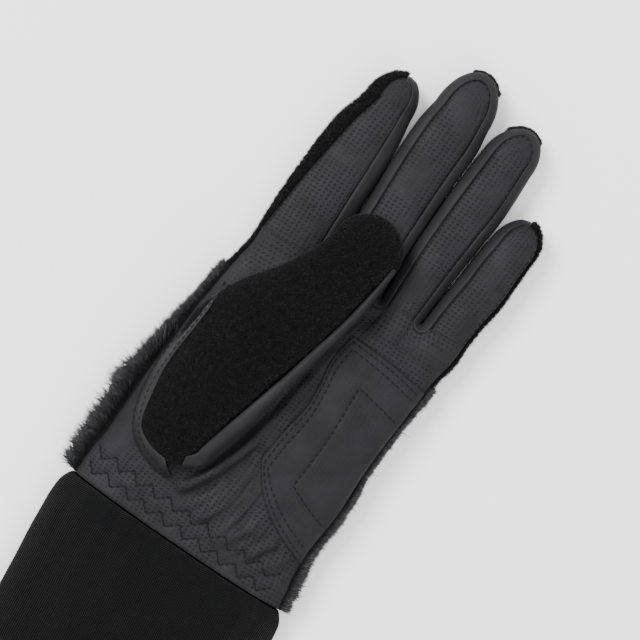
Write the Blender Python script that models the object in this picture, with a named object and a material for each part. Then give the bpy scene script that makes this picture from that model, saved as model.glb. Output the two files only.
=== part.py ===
"""Winter golf glove for a left hand, lying on its back with the palm up.

Metres, +Z up, +Y along the fingers, +X towards the little finger. The hand back rests on z = 0.
The glove is sewn from a leather palm with four finger fronts, three leather fourchettes, a fleece
back for the fingers, a deep fur back for the hand, a thumb of fleece and leather that lies over the
palm, a leather heel patch and a knitted cuff. Every shell is hollow and open at the wrist.
"""

import math
from collections import namedtuple

import bmesh
import bpy
from mathutils import Vector

# Palm and hand back
PALM_LENGTH = 0.113  # from the cuff seam to the finger crotches
PALM_WIDTH = 0.089  # across the palm at the cuff seam
PALM_DEPTH = 0.020  # from the surface it lies on to the top of the palm
ORIGIN_FROM_SEAM = 0.39 * PALM_LENGTH  # from the cuff seam to the origin, under the hand back
KNUCKLE_BLEND = 0.018  # the stretch over which the palm rises into the rounded fingers
SEAM_SLANT = 0.0042  # the cuff seam lies this much further up the hand on the thumb side
SLANT_REACH = 0.25 * PALM_LENGTH  # the stretch over which that slant fades out
SLANT_CURVE = 1.5

# Fingers
INDEX_LENGTH, INDEX_WIDTH = 0.0730, 0.0275
MIDDLE_LENGTH, MIDDLE_WIDTH = 0.0875, 0.0225
RING_LENGTH, RING_WIDTH = 0.0785, 0.0205
LITTLE_LENGTH, LITTLE_WIDTH = 0.0513, 0.0190
FINGER_DEPTH = 0.015
FINGER_GAP = 0.0008  # air between two fingers that lie side by side
THUMB_SIDE = 0.0333  # from the middle of the wrist to the index finger's outer edge

# Thumb
THUMB_LENGTH = 0.1124
THUMB_WIDTH = 0.0416
THUMB_START = 0.0250  # from the cuff seam to the lower end of the thumb
THUMB_AXIS = -0.0155  # across, the line that the thumb's sections are measured from
THUMB_DEPTH = 0.0135
THUMB_LIFT = 0.0008  # air between the thumb and what it lies on
THUMB_HOLE_LENGTH, THUMB_HOLE_WIDTH = 0.054, 0.023
THUMB_HOLE_TURN = math.radians(-6)
THUMB_HOLE_ACROSS, THUMB_HOLE_ALONG = -0.13, 0.29  # its middle, shares of the thumb's width and length

# Cuff and patch
CUFF_LENGTH = 0.060
CUFF_WIDTH = 0.0935
CUFF_DEPTH = 0.0162
PATCH_LENGTH = 0.0530  # along its inner edge
PATCH_WIDTH = 0.0330

# Material thicknesses and clearances
LEATHER = 0.0013
PATCH_LEATHER = 0.0010
FLEECE = 0.0024
FUR_BACKING = 0.0016
FUR_DEPTH = 0.0030
KNIT = 0.0026
SEAM_GAP = 0.0003

# How full a section is: 0.5 is an ellipse, less is squarer
ROUNDNESS = 0.45
PALM_SQUARENESS = 3.2
PRESSED_FLAT = 0.0016  # how far the back is pressed against the surface it lies on

# Mesh divisions
HALF_COLUMNS = (1.0, 0.90, 0.47, 0.0)  # a finger's columns from its edge to its middle, as shares
ALONG_FINGER = 4
ROUND_TIP = 3
ROUND_CROTCH = 4
BAND_STEPS = (0.0, 0.5, 1.0)
FUR_COLUMNS = 11
CUFF_COLUMNS, CUFF_ROWS = 28, 7
PATCH_COLUMNS, PATCH_ROWS = 9, 12
THUMB_ROWS = 10
THUMB_FLEECE_COLUMNS = (0.0, 0.05, 0.16, 0.32, 0.52, 0.72, 0.90, 1.0)
THUMB_ROLL_COLUMNS = (0.45, 0.85, 1.0)
ACROSS_FINGER = 2 * len(HALF_COLUMNS) - 2

Finger = namedtuple(
    "Finger", "name length width body skew front_tip front_right stations"
)
# along: share of the body before the round tip; left and right: edges, shares of the finger's width
# from the middle of its base; front: the leather front's left edge, a share of the half width
FingerStation = namedtuple("FingerStation", "along left right front")

FINGERS = (
    Finger("index", INDEX_LENGTH, INDEX_WIDTH, 0.82, 0.02, 0.86, 0.62, (
        FingerStation(0.00, -0.496, 0.496, 0.93),
        FingerStation(0.43, -0.464, 0.496, 0.70),
        FingerStation(0.80, -0.362, 0.489, 0.56),
        FingerStation(1.00, -0.213, 0.449, 0.48),
    )),
    Finger("middle", MIDDLE_LENGTH, MIDDLE_WIDTH, 0.81, 0.01, 0.81, 0.70, (
        FingerStation(0.00, -0.482, 0.482, 0.70),
        FingerStation(0.31, -0.482, 0.495, 0.70),
        FingerStation(0.66, -0.482, 0.544, 0.70),
        FingerStation(0.87, -0.456, 0.589, 0.70),
        FingerStation(1.00, -0.380, 0.558, 0.70),
    )),
    Finger("ring", RING_LENGTH, RING_WIDTH, 0.83, 0.07, 0.80, 0.68, (
        FingerStation(0.00, -0.395, 0.395, 0.66),
        FingerStation(0.28, -0.395, 0.493, 0.66),
        FingerStation(0.54, -0.366, 0.600, 0.66),
        FingerStation(0.72, -0.327, 0.673, 0.66),
        FingerStation(1.00, -0.234, 0.693, 0.66),
    )),
    Finger("little", LITTLE_LENGTH, LITTLE_WIDTH, 0.76, 0.06, 0.86, 0.93, (
        FingerStation(0.00, -0.455, 0.455, 0.66),
        FingerStation(0.21, -0.413, 0.508, 0.66),
        FingerStation(0.51, -0.324, 0.618, 0.66),
        FingerStation(0.77, -0.266, 0.655, 0.66),
        FingerStation(1.00, -0.187, 0.692, 0.66),
    )),
)
BACK_LIMIT = 0.80  # the fleece back's edge on the underside, a share of the half width

# along: share of the palm's length; left and right: edges, shares of the palm's width;
# seam and top: heights of the side seam and of the palm, shares of the palm's depth
PalmStation = namedtuple("PalmStation", "along left right seam top")
PALM_STATIONS = (
    PalmStation(0.000, -0.501, 0.501, 0.40, 0.82),
    PalmStation(0.110, -0.494, 0.487, 0.40, 0.88),
    PalmStation(0.200, -0.483, 0.479, 0.41, 0.93),
    PalmStation(0.350, -0.470, 0.502, 0.43, 0.99),
    PalmStation(0.500, -0.456, 0.506, 0.44, 1.00),
    PalmStation(0.730, -0.425, 0.531, 0.42, 0.96),
    PalmStation(0.870, -0.398, 0.553, 0.40, 0.87),
)
PALM_ROWS = (0, 0.04, 0.08, 0.12, 0.16, 0.20, 0.24, 0.29, 0.34, 0.40, 0.48, 0.57, 0.66, 0.75,
             0.84, 0.92, 1.0)
FUR_ROWS = 14  # the rows that the deep fur covers: the fleece of the fingers begins beyond them

# Folds of the palm leather: both ends, across as shares of the palm's width and along as shares of
# its length, then the height, a share of the palm's depth, and the half width, a share of its width
Fold = namedtuple("Fold", "across along to_across to_along height half_width")
FOLDS = (
    Fold(-0.110, 0.180, 0.010, 0.290, 0.100, 0.030),
    Fold(0.010, 0.290, 0.085, 0.440, 0.110, 0.030),
    Fold(0.085, 0.440, 0.130, 0.590, 0.060, 0.026),
    Fold(-0.075, 0.140, 0.010, 0.245, -0.080, 0.026),
    Fold(0.010, 0.245, 0.100, 0.410, -0.080, 0.026),
    Fold(0.020, 0.110, 0.130, 0.240, 0.075, 0.024),
    Fold(0.138, 0.078, 0.237, 0.190, 0.075, 0.022),
    Fold(0.260, 0.100, 0.330, 0.190, 0.070, 0.022),
    Fold(0.345, 0.080, 0.425, 0.150, 0.060, 0.020),
    Fold(-0.300, 0.060, -0.200, 0.120, 0.045, 0.026),
)

# along: share of the thumb's length; left, seam and right: shares of its width from its axis, with
# the fleece from left to seam and the leather roll from seam to right; low and high: heights of the
# left and right edges over what the thumb lies on; rise: the crown above them, shares of its depth
ThumbStation = namedtuple("ThumbStation", "along left seam right low high rise")
THUMB_STATIONS = (
    ThumbStation(0.100, -0.455, 0.140, 0.265, 0.17, 0.30, 0.42),
    ThumbStation(0.230, -0.500, 0.250, 0.395, 0.17, 0.34, 0.60),
    ThumbStation(0.350, -0.515, 0.355, 0.472, 0.18, 0.38, 0.68),
    ThumbStation(0.450, -0.505, 0.440, 0.546, 0.22, 0.40, 0.70),
    ThumbStation(0.520, -0.425, 0.495, 0.592, 0.30, 0.42, 0.66),
    ThumbStation(0.600, -0.310, 0.560, 0.646, 0.40, 0.44, 0.60),
    ThumbStation(0.700, -0.095, 0.630, 0.712, 0.44, 0.45, 0.57),
    ThumbStation(0.790, 0.050, 0.680, 0.742, 0.45, 0.45, 0.55),
    ThumbStation(0.880, 0.160, 0.735, 0.772, 0.45, 0.45, 0.52),
)
THUMB_TIP_SHARE = 0.12  # the round tip's share of the thumb's length
THUMB_HEEL_SHARE = 0.10

# The patch's edges, as shares of its width and length from its lower inner corner
PatchEdge = namedtuple("PatchEdge", "along across")
PATCH_CORNER = (0.115, 0.385)  # that corner, as shares of the palm's width and length
PATCH_INNER_EDGE = (
    PatchEdge(0.00, 0.000), PatchEdge(0.22, 0.045), PatchEdge(0.45, 0.120),
    PatchEdge(0.62, 0.115), PatchEdge(0.80, 0.085), PatchEdge(1.00, 0.150),
)
# how far along the patch its lower edge lies, from the inner corner to the outer one
PATCH_LOWER_EDGE = (
    PatchEdge(0.000, 0.00), PatchEdge(-0.150, 0.15), PatchEdge(-0.270, 0.35),
    PatchEdge(-0.370, 0.60), PatchEdge(-0.480, 1.00),
)
PATCH_OUTER_DROP = 0.075  # the upper edge falls by this share of the length towards the side seam
PATCH_SIDE = 0.965  # the patch's outer edge, a share of the palm's half width

# Cuff sections: along as a share of its length, width and depth as shares of the cuff's
CuffStation = namedtuple("CuffStation", "along width depth")
CUFF_STATIONS = (
    CuffStation(0.00, 0.950, 0.93),
    CuffStation(0.08, 1.005, 1.00),
    CuffStation(0.25, 1.015, 1.00),
    CuffStation(0.60, 0.985, 0.95),
    CuffStation(0.95, 0.965, 0.90),
    CuffStation(1.00, 0.955, 0.88),
)

FINGER_MIDDLE = FINGER_DEPTH / 2
EDGE_SNAP = 1e-5  # a place this near a section's edge is on it, so that upper and under side meet


def between(low, high, share):
    return low + (high - low) * share


def ease(share):
    share = min(max(share, 0.0), 1.0)
    return share * share * (3 - 2 * share)


def read(table, key, column, at):
    """A column of a table at a place between its rows, along one smooth curve through them."""
    keys = [getattr(row, key) for row in table]
    values = [getattr(row, column) for row in table]
    if at <= keys[0]:
        return values[0]
    if at >= keys[-1]:
        return values[-1]
    n = max(i for i in range(len(keys) - 1) if keys[i] <= at)
    span = keys[n + 1] - keys[n]

    def slope(i):
        low, high = max(i - 1, 0), min(i + 1, len(keys) - 1)
        return (values[high] - values[low]) / (keys[high] - keys[low])

    t = (at - keys[n]) / span
    return (
        values[n] * (2 * t**3 - 3 * t**2 + 1)
        + values[n + 1] * (3 * t**2 - 2 * t**3)
        + span * slope(n) * (t**3 - 2 * t**2 + t)
        + span * slope(n + 1) * (t**3 - t**2)
    )


def crown(level, power=2.0, root=ROUNDNESS):
    """How high a round section stands at this share of its half width: 1 in the middle, 0 at its edge."""
    return (1 - abs(level) ** power) ** root if abs(level) < 1 - EDGE_SNAP else 0.0


def palm_crown(level):
    return crown(level, PALM_SQUARENESS, 0.5)


def finger_bases():
    """The middle of each finger's base, with the fingers side by side from the index's outer edge."""
    places, edge = [], -THUMB_SIDE
    for finger in FINGERS:
        first = finger.stations[0]
        places.append(edge - first.left * finger.width)
        edge = places[-1] + first.right * finger.width + FINGER_GAP
    return dict(zip((finger.name for finger in FINGERS), places))


BASES = finger_bases()


def finger_point(finger, u, v, top):
    """A point of a finger's outer surface: u from edge to edge, v from 0 at its base to 1 where the
    round tip starts and 2 at the tip's end, on its palm side or on its back."""
    along = min(v, 1.0)
    left = read(finger.stations, "along", "left", along) * finger.width
    right = read(finger.stations, "along", "right", along) * finger.width
    middle, half = BASES[finger.name] + (left + right) / 2, (right - left) / 2
    body = finger.length * finger.body
    level, x, y = abs(u), middle + half * u, PALM_LENGTH + body * along
    if v > 1:
        t = v - 1
        level = max(abs(u), t)
        turn = math.pi / 4 * (t / abs(u) if abs(u) >= t else 2 - abs(u) / t)
        x = middle + math.copysign(half * level * math.cos(turn), u)
        x += finger.skew * finger.width * level * math.sin(turn)
        y += (finger.length - body) * level * math.sin(turn)
    if top:
        return Vector((x, y, FINGER_MIDDLE * (1 + crown(level))))
    pressed = FINGER_MIDDLE - (FINGER_MIDDLE + PRESSED_FLAT) * crown(level)
    return Vector((x, y, max(0.0, pressed)))


def front_limit(finger, side, v):
    """The share of the half width where the leather front ends, on the left (-1) or right (+1) side."""
    if side > 0:
        return finger.front_right
    return read(finger.stations, "along", "front", min(v, 1.0))


def finger_rows():
    """Places along a finger: stations of its body, then steps of its round tip, as (body, tip) shares."""
    body = [(j / ALONG_FINGER, 0.0) for j in range(ALONG_FINGER + 1)]
    return body + [(1.0, j / ROUND_TIP) for j in range(1, ROUND_TIP + 1)]


def column_share(column):
    """A column's place across a finger, from -1 at its left edge to 1 at its right edge."""
    middle = len(HALF_COLUMNS) - 1
    return -HALF_COLUMNS[column] if column <= middle else HALF_COLUMNS[2 * middle - column]


def front_point(finger, column, row):
    body, tip = finger_rows()[row]
    share = column_share(column)
    u = share * front_limit(finger, math.copysign(1, share), body)
    return finger_point(finger, u, body + tip * finger.front_tip, True)


def back_point(finger, column, row):
    body, tip = finger_rows()[row]
    return finger_point(finger, column_share(column) * BACK_LIMIT, body + tip * BACK_LIMIT, False)


def edge_places(finger, side):
    """Places round a finger's side, from its base to the middle of its tip. Each has the (u, v) of the
    leather front's edge, of the outline and of the back's edge."""
    places = []
    for body, tip in finger_rows():
        front = front_limit(finger, side, body)
        places.append((
            (side * front, body + tip * finger.front_tip),
            (side, body + tip),
            (side * BACK_LIMIT, body + tip * BACK_LIMIT),
        ))
    front = front_limit(finger, side, 1)
    for share in HALF_COLUMNS[1:]:
        places.append((
            (side * front * share, 1 + finger.front_tip),
            (side * share, 2.0),
            (side * BACK_LIMIT * share, 1 + BACK_LIMIT),
        ))
    return places


def band_point(finger, place, column):
    """A point on a finger's side band, whose columns run from the front's edge over the outline to the
    back's edge."""
    front, outline, back = place
    last = len(BAND_STEPS) - 1
    if column <= last:
        pair = [between(front[i], outline[i], BAND_STEPS[column]) for i in (0, 1)]
    else:
        pair = [between(outline[i], back[i], BAND_STEPS[column - last]) for i in (0, 1)]
    return finger_point(finger, *pair, column <= last)


BAND_COLUMNS = 2 * len(BAND_STEPS) - 2


def crotch_turn(left_point, right_point, share):
    """A point on the half circle round a crotch, from one finger's side to the next finger's."""
    middle, half = (left_point + right_point) / 2, (right_point - left_point) / 2
    turn = math.pi * share
    point = middle - half * math.cos(turn)
    point.y -= half.length * math.sin(turn)
    return point


def palm_edges(y):
    """Left and right edge, seam height and top height of the hand at this distance from the cuff seam."""
    along = y / PALM_LENGTH
    last = PALM_STATIONS[-1]
    found = {
        name: read(PALM_STATIONS, "along", name, along)
        * (PALM_DEPTH if name in ("seam", "top") else PALM_WIDTH)
        for name in ("left", "right", "seam", "top")
    }
    share = ease((along - last.along) / (1 - last.along))
    first, little = FINGERS[0], FINGERS[-1]
    ends = {
        "left": BASES[first.name] + first.stations[0].left * first.width,
        "right": BASES[little.name] + little.stations[0].right * little.width,
        "seam": FINGER_MIDDLE,
        "top": FINGER_DEPTH,
    }
    return [between(found[name], ends[name], share) for name in ("left", "right", "seam", "top")]


def fold_height(x, y):
    """How far the folds of the leather lift or sink the palm here."""
    total = 0.0
    for fold in FOLDS:
        start = Vector((fold.across * PALM_WIDTH, fold.along * PALM_LENGTH))
        end = Vector((fold.to_across * PALM_WIDTH, fold.to_along * PALM_LENGTH))
        line, offset = end - start, Vector((x, y)) - start
        share = offset.dot(line) / line.length_squared
        if not -0.25 < share < 1.25:
            continue
        away = (offset - line * min(max(share, 0.0), 1.0)).length / (fold.half_width * PALM_WIDTH)
        ends = ease((share + 0.25) * 2) * ease((1.25 - share) * 2)
        total += fold.height * PALM_DEPTH * math.exp(-away * away) * ends
    return total


def palm_height(x, y):
    """The palm's outer surface, without the finger bumps at the knuckles."""
    left, right, seam, top = palm_edges(y)
    level = (x - (left + right) / 2) / ((right - left) / 2)
    full = palm_crown(level)
    return seam + (top - seam) * full + fold_height(x, y) * full


def back_height(x, y):
    """The hand back's outer surface, pressed flat. The fur's backing lies the fur's depth higher."""
    left, right, seam, _ = palm_edges(y)
    seam_row, row_before = (PALM_ROWS[FUR_ROWS - n] * PALM_LENGTH for n in (0, 1))
    lowest = FUR_DEPTH * (1 - ease((y - row_before) / (seam_row - row_before)))
    level = (x - (left + right) / 2) / ((right - left) / 2)
    depth = seam - lowest
    return max(lowest, seam - (depth + PRESSED_FLAT) * palm_crown(level))


def seam_slant(share, y):
    """The cuff seam's slant, which fades out up the hand. share is 0 at the thumb side."""
    return SEAM_SLANT * (1 - share) ** SLANT_CURVE * (1 - ease(y / SLANT_REACH))


def crotch_row(point_of, upper):
    """The points across the hand at the finger crotches, from edge to edge, on one side of the hand."""
    last = len(BAND_STEPS) - 1
    columns = range(last, 0, -1) if upper else range(last, BAND_COLUMNS)
    index, little = FINGERS[0], FINGERS[-1]
    points = [band_point(index, edge_places(index, -1)[0], column) for column in columns]
    for number, finger in enumerate(FINGERS):
        points += [point_of(finger, column, 0) for column in range(ACROSS_FINGER + 1)]
        if number + 1 < len(FINGERS):
            first = points[-1]
            second = point_of(FINGERS[number + 1], 0, 0)
            for j in range(1, ROUND_CROTCH):
                points.append(crotch_turn(first, second, j / ROUND_CROTCH))
    little_edge = edge_places(little, 1)[0]
    return points + [band_point(little, little_edge, column) for column in reversed(columns)]


def hand_point(row_points, column, row, height_of):
    """A point of the palm or back below the crotches, under the point of the crotch row in its column."""
    goal = row_points[column]
    if row == len(PALM_ROWS) - 1:
        return goal.copy()
    y = PALM_ROWS[row] * PALM_LENGTH
    knuckle = ease((y - PALM_LENGTH + KNUCKLE_BLEND) / KNUCKLE_BLEND)
    first, last = row_points[0].x, row_points[-1].x
    share = (goal.x - first) / (last - first)
    left, right = palm_edges(y)[:2]
    across = between(left, right, share)
    dip = (PALM_LENGTH - goal.y) * knuckle
    z = between(height_of(across, y), goal.z, knuckle)
    return Vector((between(across, goal.x, knuckle), y - dip + seam_slant(share, y), z))


def lay_sheet(bm, columns, rows, place, panel_of):
    """A grid whose vertices are placed by their column and row, and whose faces are given panels."""
    verts = bmesh.ops.create_grid(bm, x_segments=columns, y_segments=rows, size=1)["verts"]
    panel = bm.faces.layers.int["panel"]
    for number, vert in enumerate(verts):
        row, column = divmod(number, columns + 1)
        vert.co = place(column, row)
        if row and column:
            corner = {verts[number - columns - 2], verts[number - 1], verts[number - columns - 1]}
            for face in vert.link_faces:
                if corner <= set(face.verts):
                    face[panel] = panel_of(column - 1, row - 1)


def new_form():
    bm = bmesh.new()
    bm.faces.layers.int.new("panel")
    bm.verts.layers.float_vector.new("outward")
    return bm


def weld_form(bm):
    """Joins a form's sheets into one surface that faces outwards, and keeps its normals for the walls."""
    bmesh.ops.remove_doubles(bm, verts=bm.verts[:], dist=1e-6)
    bmesh.ops.recalc_face_normals(bm, faces=bm.faces[:])
    bm.normal_update()
    lowest = min(bm.faces, key=lambda face: face.calc_center_median().z)
    if lowest.normal.z > 0:
        bmesh.ops.reverse_faces(bm, faces=bm.faces[:])
        bm.normal_update()
    outward = bm.verts.layers.float_vector["outward"]
    for vert in bm.verts:
        vert[outward] = vert.normal


def cut_panel(form, number, wall):
    """One panel of a form, drawn back from its seams by half the gap, with a wall that grows inwards.
    It gives the mesh and the faces of its outer surface."""
    bm = form.copy()
    panel = bm.faces.layers.int["panel"]
    others = [face for face in bm.faces if face[panel] != number]
    bmesh.ops.delete(bm, geom=others, context="FACES")
    bm.normal_update()
    moves = {}
    for edge in bm.edges:
        if not edge.is_boundary:
            continue
        face = edge.link_faces[0]
        inwards = face.normal.cross(edge.verts[1].co - edge.verts[0].co).normalized()
        if inwards.dot(face.calc_center_median() - edge.verts[0].co) < 0:
            inwards = -inwards
        for vert in edge.verts:
            moves.setdefault(vert, []).append(inwards)
    for vert, ways in moves.items():
        vert.co += sum(ways, Vector()).normalized() * SEAM_GAP / 2
    outer = bm.faces[:]
    outward = bm.verts.layers.float_vector["outward"]
    made = bmesh.ops.extrude_face_region(bm, geom=outer, use_keep_orig=True)["geom"]
    for item in made:
        if isinstance(item, bmesh.types.BMVert):
            item.co -= item[outward] * wall
    bmesh.ops.recalc_face_normals(bm, faces=bm.faces[:])
    return bm, outer


def add_object(name, bm, material):
    mesh = bpy.data.meshes.new(name)
    bm.to_mesh(mesh)
    bm.free()
    mesh.shade_smooth()
    mesh.set_sharp_from_angle(angle=math.radians(50))
    mesh.materials.append(material)
    obj = bpy.data.objects.new(name, mesh)
    obj.location.y = -ORIGIN_FROM_SEAM
    glove.objects.link(obj)
    return obj


def make_material(name, colour, roughness, metallic=0.0):
    material = bpy.data.materials.new(name)
    material.use_nodes = True
    shader = material.node_tree.nodes["Principled BSDF"]
    shader.inputs["Base Color"].default_value = (*colour, 1)
    shader.inputs["Roughness"].default_value = roughness
    shader.inputs["Metallic"].default_value = metallic
    material.diffuse_color = (*colour, 1)
    return material


PALM, BACKS, FUR, FOURCHETTES = 0, 1, 2, 3


def make_hand_form():
    """The glove's outer surface apart from thumb, patch and cuff, in panels."""
    bm = new_form()
    upper = crotch_row(front_point, True)
    under = crotch_row(back_point, False)
    wrap = len(BAND_STEPS) - 1
    rows = len(PALM_ROWS) - 1
    finger_rows_up = ALONG_FINGER + ROUND_TIP

    def upper_panel(column, row):
        if wrap <= column < len(upper) - 1 - wrap:
            return PALM
        return FUR if row < FUR_ROWS else BACKS

    lay_sheet(bm, len(upper) - 1, rows,
              lambda column, row: hand_point(upper, column, row, palm_height), upper_panel)
    knuckle_rows = rows - FUR_ROWS
    lay_sheet(bm, len(under) - 1, knuckle_rows,
              lambda column, row: hand_point(under, column, row + FUR_ROWS, back_height),
              lambda column, row: BACKS)
    lay_sheet(bm, FUR_COLUMNS, FUR_ROWS, fur_backing_point, lambda column, row: FUR)
    for number, finger in enumerate(FINGERS):
        lay_sheet(bm, ACROSS_FINGER, finger_rows_up,
                  lambda column, row: front_point(finger, column, row), lambda column, row: PALM)
        lay_sheet(bm, ACROSS_FINGER, finger_rows_up,
                  lambda column, row: back_point(finger, column, row), lambda column, row: BACKS)
        for side in (-1, 1):
            places = edge_places(finger, side)
            neighbour = number + (side - 1) // 2
            inner = 0 <= neighbour < len(FINGERS) - 1
            side_panel = FOURCHETTES + neighbour if inner else BACKS
            lay_sheet(bm, BAND_COLUMNS, len(places) - 1,
                      lambda column, row: band_point(finger, places[row], column),
                      lambda column, row: side_panel)
        if number + 1 < len(FINGERS):
            crotch = [edge_places(finger, 1)[0], edge_places(FINGERS[number + 1], -1)[0]]

            def crotch_point(column, row):
                first = band_point(finger, crotch[0], column)
                second = band_point(FINGERS[number + 1], crotch[1], column)
                return crotch_turn(first, second, row / ROUND_CROTCH)

            lay_sheet(bm, BAND_COLUMNS, ROUND_CROTCH, crotch_point,
                      lambda column, row: FOURCHETTES + number)
    weld_form(bm)
    return bm


def fur_backing_point(column, row):
    level = math.sin(math.pi / 2 * (2 * column / FUR_COLUMNS - 1))
    y = PALM_ROWS[row] * PALM_LENGTH
    left, right = palm_edges(y)[:2]
    x = between(left, right, (level + 1) / 2)
    if row == FUR_ROWS and 0 < column < FUR_COLUMNS:
        y -= FUR_BACKING / 3  # keeps the sloping end of the backing clear of the fleece
    return Vector((x, y + seam_slant((level + 1) / 2, y), back_height(x, y)))


def make_hand():
    """The palm, the fourchettes, the fleece backs and the fur back, all cut from one form."""
    form = make_hand_form()
    palm = add_object("palm_leather", cut_panel(form, PALM, LEATHER)[0], LEATHER_FINISH)
    cut_thumb_hole(palm)
    for number, (left, right) in enumerate(zip(FINGERS, FINGERS[1:])):
        strip = cut_panel(form, FOURCHETTES + number, LEATHER)[0]
        add_object(f"fourchette_{left.name}_{right.name}", strip, LEATHER_FINISH)
    add_object("finger_back_fleece", cut_panel(form, BACKS, FLEECE)[0], FLEECE_FINISH)
    fur, outer = cut_panel(form, FUR, FUR_BACKING)
    draw_locks(fur, outer)
    add_object("back_fur", fur, FUR_FINISH)
    form.free()


# How far the fur stands out past the hand's sides, along the hand back, as shares of its length, with
# the lengths as shares of the fur's depth
FurReach = namedtuple("FurReach", "along thumb_side little_side")
FUR_REACH = (
    FurReach(0.00, 1.30, 0.95), FurReach(0.20, 1.70, 0.85), FurReach(0.45, 2.00, 0.70),
    FurReach(0.65, 1.20, 0.35), FurReach(0.80, 0.50, 0.35), FurReach(1.00, 0.35, 0.75),
)
LOCK_POINT = 0.35  # the tip's size, a share of the lock's base
LOCK_HEEL, LOCK_TOE = 0.84, 0.50  # widths of a lock that is pressed flat, shares of its base's width
LOCK_FLOW = 0.30  # how far such a lock leans towards the fingers, a share of its length
LOCK_VARIATION = 0.30
SIDE_LOCKS, PRESSED_LOCKS = 0.35, -0.75  # a face's upward slope below which it bears each kind


def draw_locks(bm, faces):
    """Draws a lock out of each face of the backing: outwards at the hand's sides, and down to the
    surface it lies on below, where the locks are pressed flat."""
    places = []
    for face in faces:
        centre = face.calc_center_median()
        if face.normal.z < SIDE_LOCKS:
            places.append((round(centre.y, 4), centre.x, face))
    places.sort(key=lambda place: place[:2])
    locks = bmesh.ops.extrude_discrete_faces(bm, faces=[face for _, _, face in places])["faces"]
    bm.normal_update()
    for number, face in enumerate(locks):
        draw_lock(face, math.sin(number * 2.4))
    bmesh.ops.recalc_face_normals(bm, faces=bm.faces[:])


def draw_lock(face, wave):
    """Tapers one extruded face. wave, from -1 to 1, varies the locks' lengths and lean."""
    centre = face.calc_center_median()
    fur_end = PALM_ROWS[FUR_ROWS] * PALM_LENGTH
    if face.normal.z < PRESSED_LOCKS:
        length = max(vert.co.y for vert in face.verts) - min(vert.co.y for vert in face.verts)
        flow = LOCK_FLOW * length * (1 + wave / 3)
        for vert in face.verts:
            toe = vert.co.y > centre.y
            offset = (vert.co - centre) * (LOCK_TOE if toe else LOCK_HEEL)
            offset.y = (vert.co.y - centre.y) * LOCK_HEEL + flow
            offset.x += 0.06 * length * wave
            vert.co = centre + offset
            vert.co.y = min(vert.co.y, fur_end - FUR_BACKING)
            vert.co.z = 0.0
        return
    column = "little_side" if centre.x > 0 else "thumb_side"
    share = centre.y / fur_end
    reach = FUR_DEPTH * read(FUR_REACH, "along", column, share) * (1 + LOCK_VARIATION * wave)
    sink = min(face.normal.z, 0.0) / 2 - 0.1
    lean = Vector((face.normal.x, 0.35 + 0.3 * wave, sink)).normalized()
    for vert in face.verts:
        vert.co = centre + (vert.co - centre) * LOCK_POINT + lean * reach
        vert.co.z = max(vert.co.z, FUR_DEPTH / 10)


def thumb_values(along):
    names = ("left", "seam", "right", "low", "high", "rise")
    return {name: read(THUMB_STATIONS, "along", name, along) for name in names}


def thumb_support(x, y):
    """The height of what the thumb lies on: the palm, then the fingers beyond the knuckles."""
    knuckle = ease((y - PALM_LENGTH + KNUCKLE_BLEND) / KNUCKLE_BLEND)
    return between(palm_height(x, min(y, PALM_LENGTH)), FINGER_DEPTH, knuckle)


def thumb_point(u, v, top):
    """A point of the thumb's outer surface: u from edge to edge, v from -1 at its lower end through
    0 to 1 along its body and 2 at its tip, on its upper or its under side."""
    body = 1 - THUMB_TIP_SHARE - THUMB_HEEL_SHARE
    along = THUMB_HEEL_SHARE + body * min(max(v, 0.0), 1.0)
    value = thumb_values(along)
    left, right = value["left"] * THUMB_WIDTH, value["right"] * THUMB_WIDTH
    middle, half = THUMB_AXIS + (left + right) / 2, (right - left) / 2
    level, x, y = abs(u), middle + half * u, THUMB_START + THUMB_LENGTH * along
    if not 0 <= v <= 1:
        t = v - 1 if v > 1 else -v
        end = (THUMB_TIP_SHARE if v > 1 else THUMB_HEEL_SHARE) * THUMB_LENGTH
        level = max(abs(u), t)
        turn = math.pi / 4 * (t / abs(u) if abs(u) >= t else 2 - abs(u) / t)
        x = middle + math.copysign(half * level * math.cos(turn), u)
        y += math.copysign(end * level * math.sin(turn), v)
    edge = between(value["low"], value["high"], (u + 1) / 2) * THUMB_DEPTH
    lies_on = thumb_support(x, y) + THUMB_LIFT
    if top:
        return Vector((x, y, lies_on + edge + value["rise"] * THUMB_DEPTH * crown(level)))
    return Vector((x, y, lies_on + max(0.0, edge - (edge + PRESSED_FLAT) * crown(level))))


def thumb_rows():
    """Places along the thumb: its round lower end, its body and its round tip, as (body, end) pairs."""
    heel = [(0.0, -1 + j / ROUND_TIP) for j in range(ROUND_TIP)]
    body = [(j / THUMB_ROWS, 0.0) for j in range(THUMB_ROWS + 1)]
    return heel + body + [(1.0, j / ROUND_TIP) for j in range(1, ROUND_TIP + 1)]


def thumb_seam_level(v):
    """Where the fleece ends on the roll's side, as a share of the thumb's half width."""
    body = 1 - THUMB_TIP_SHARE - THUMB_HEEL_SHARE
    value = thumb_values(THUMB_HEEL_SHARE + body * v)
    middle, half = (value["left"] + value["right"]) / 2, (value["right"] - value["left"]) / 2
    return (value["seam"] - middle) / half


THUMB_FLEECE, THUMB_LEATHER = 0, 1


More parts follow.
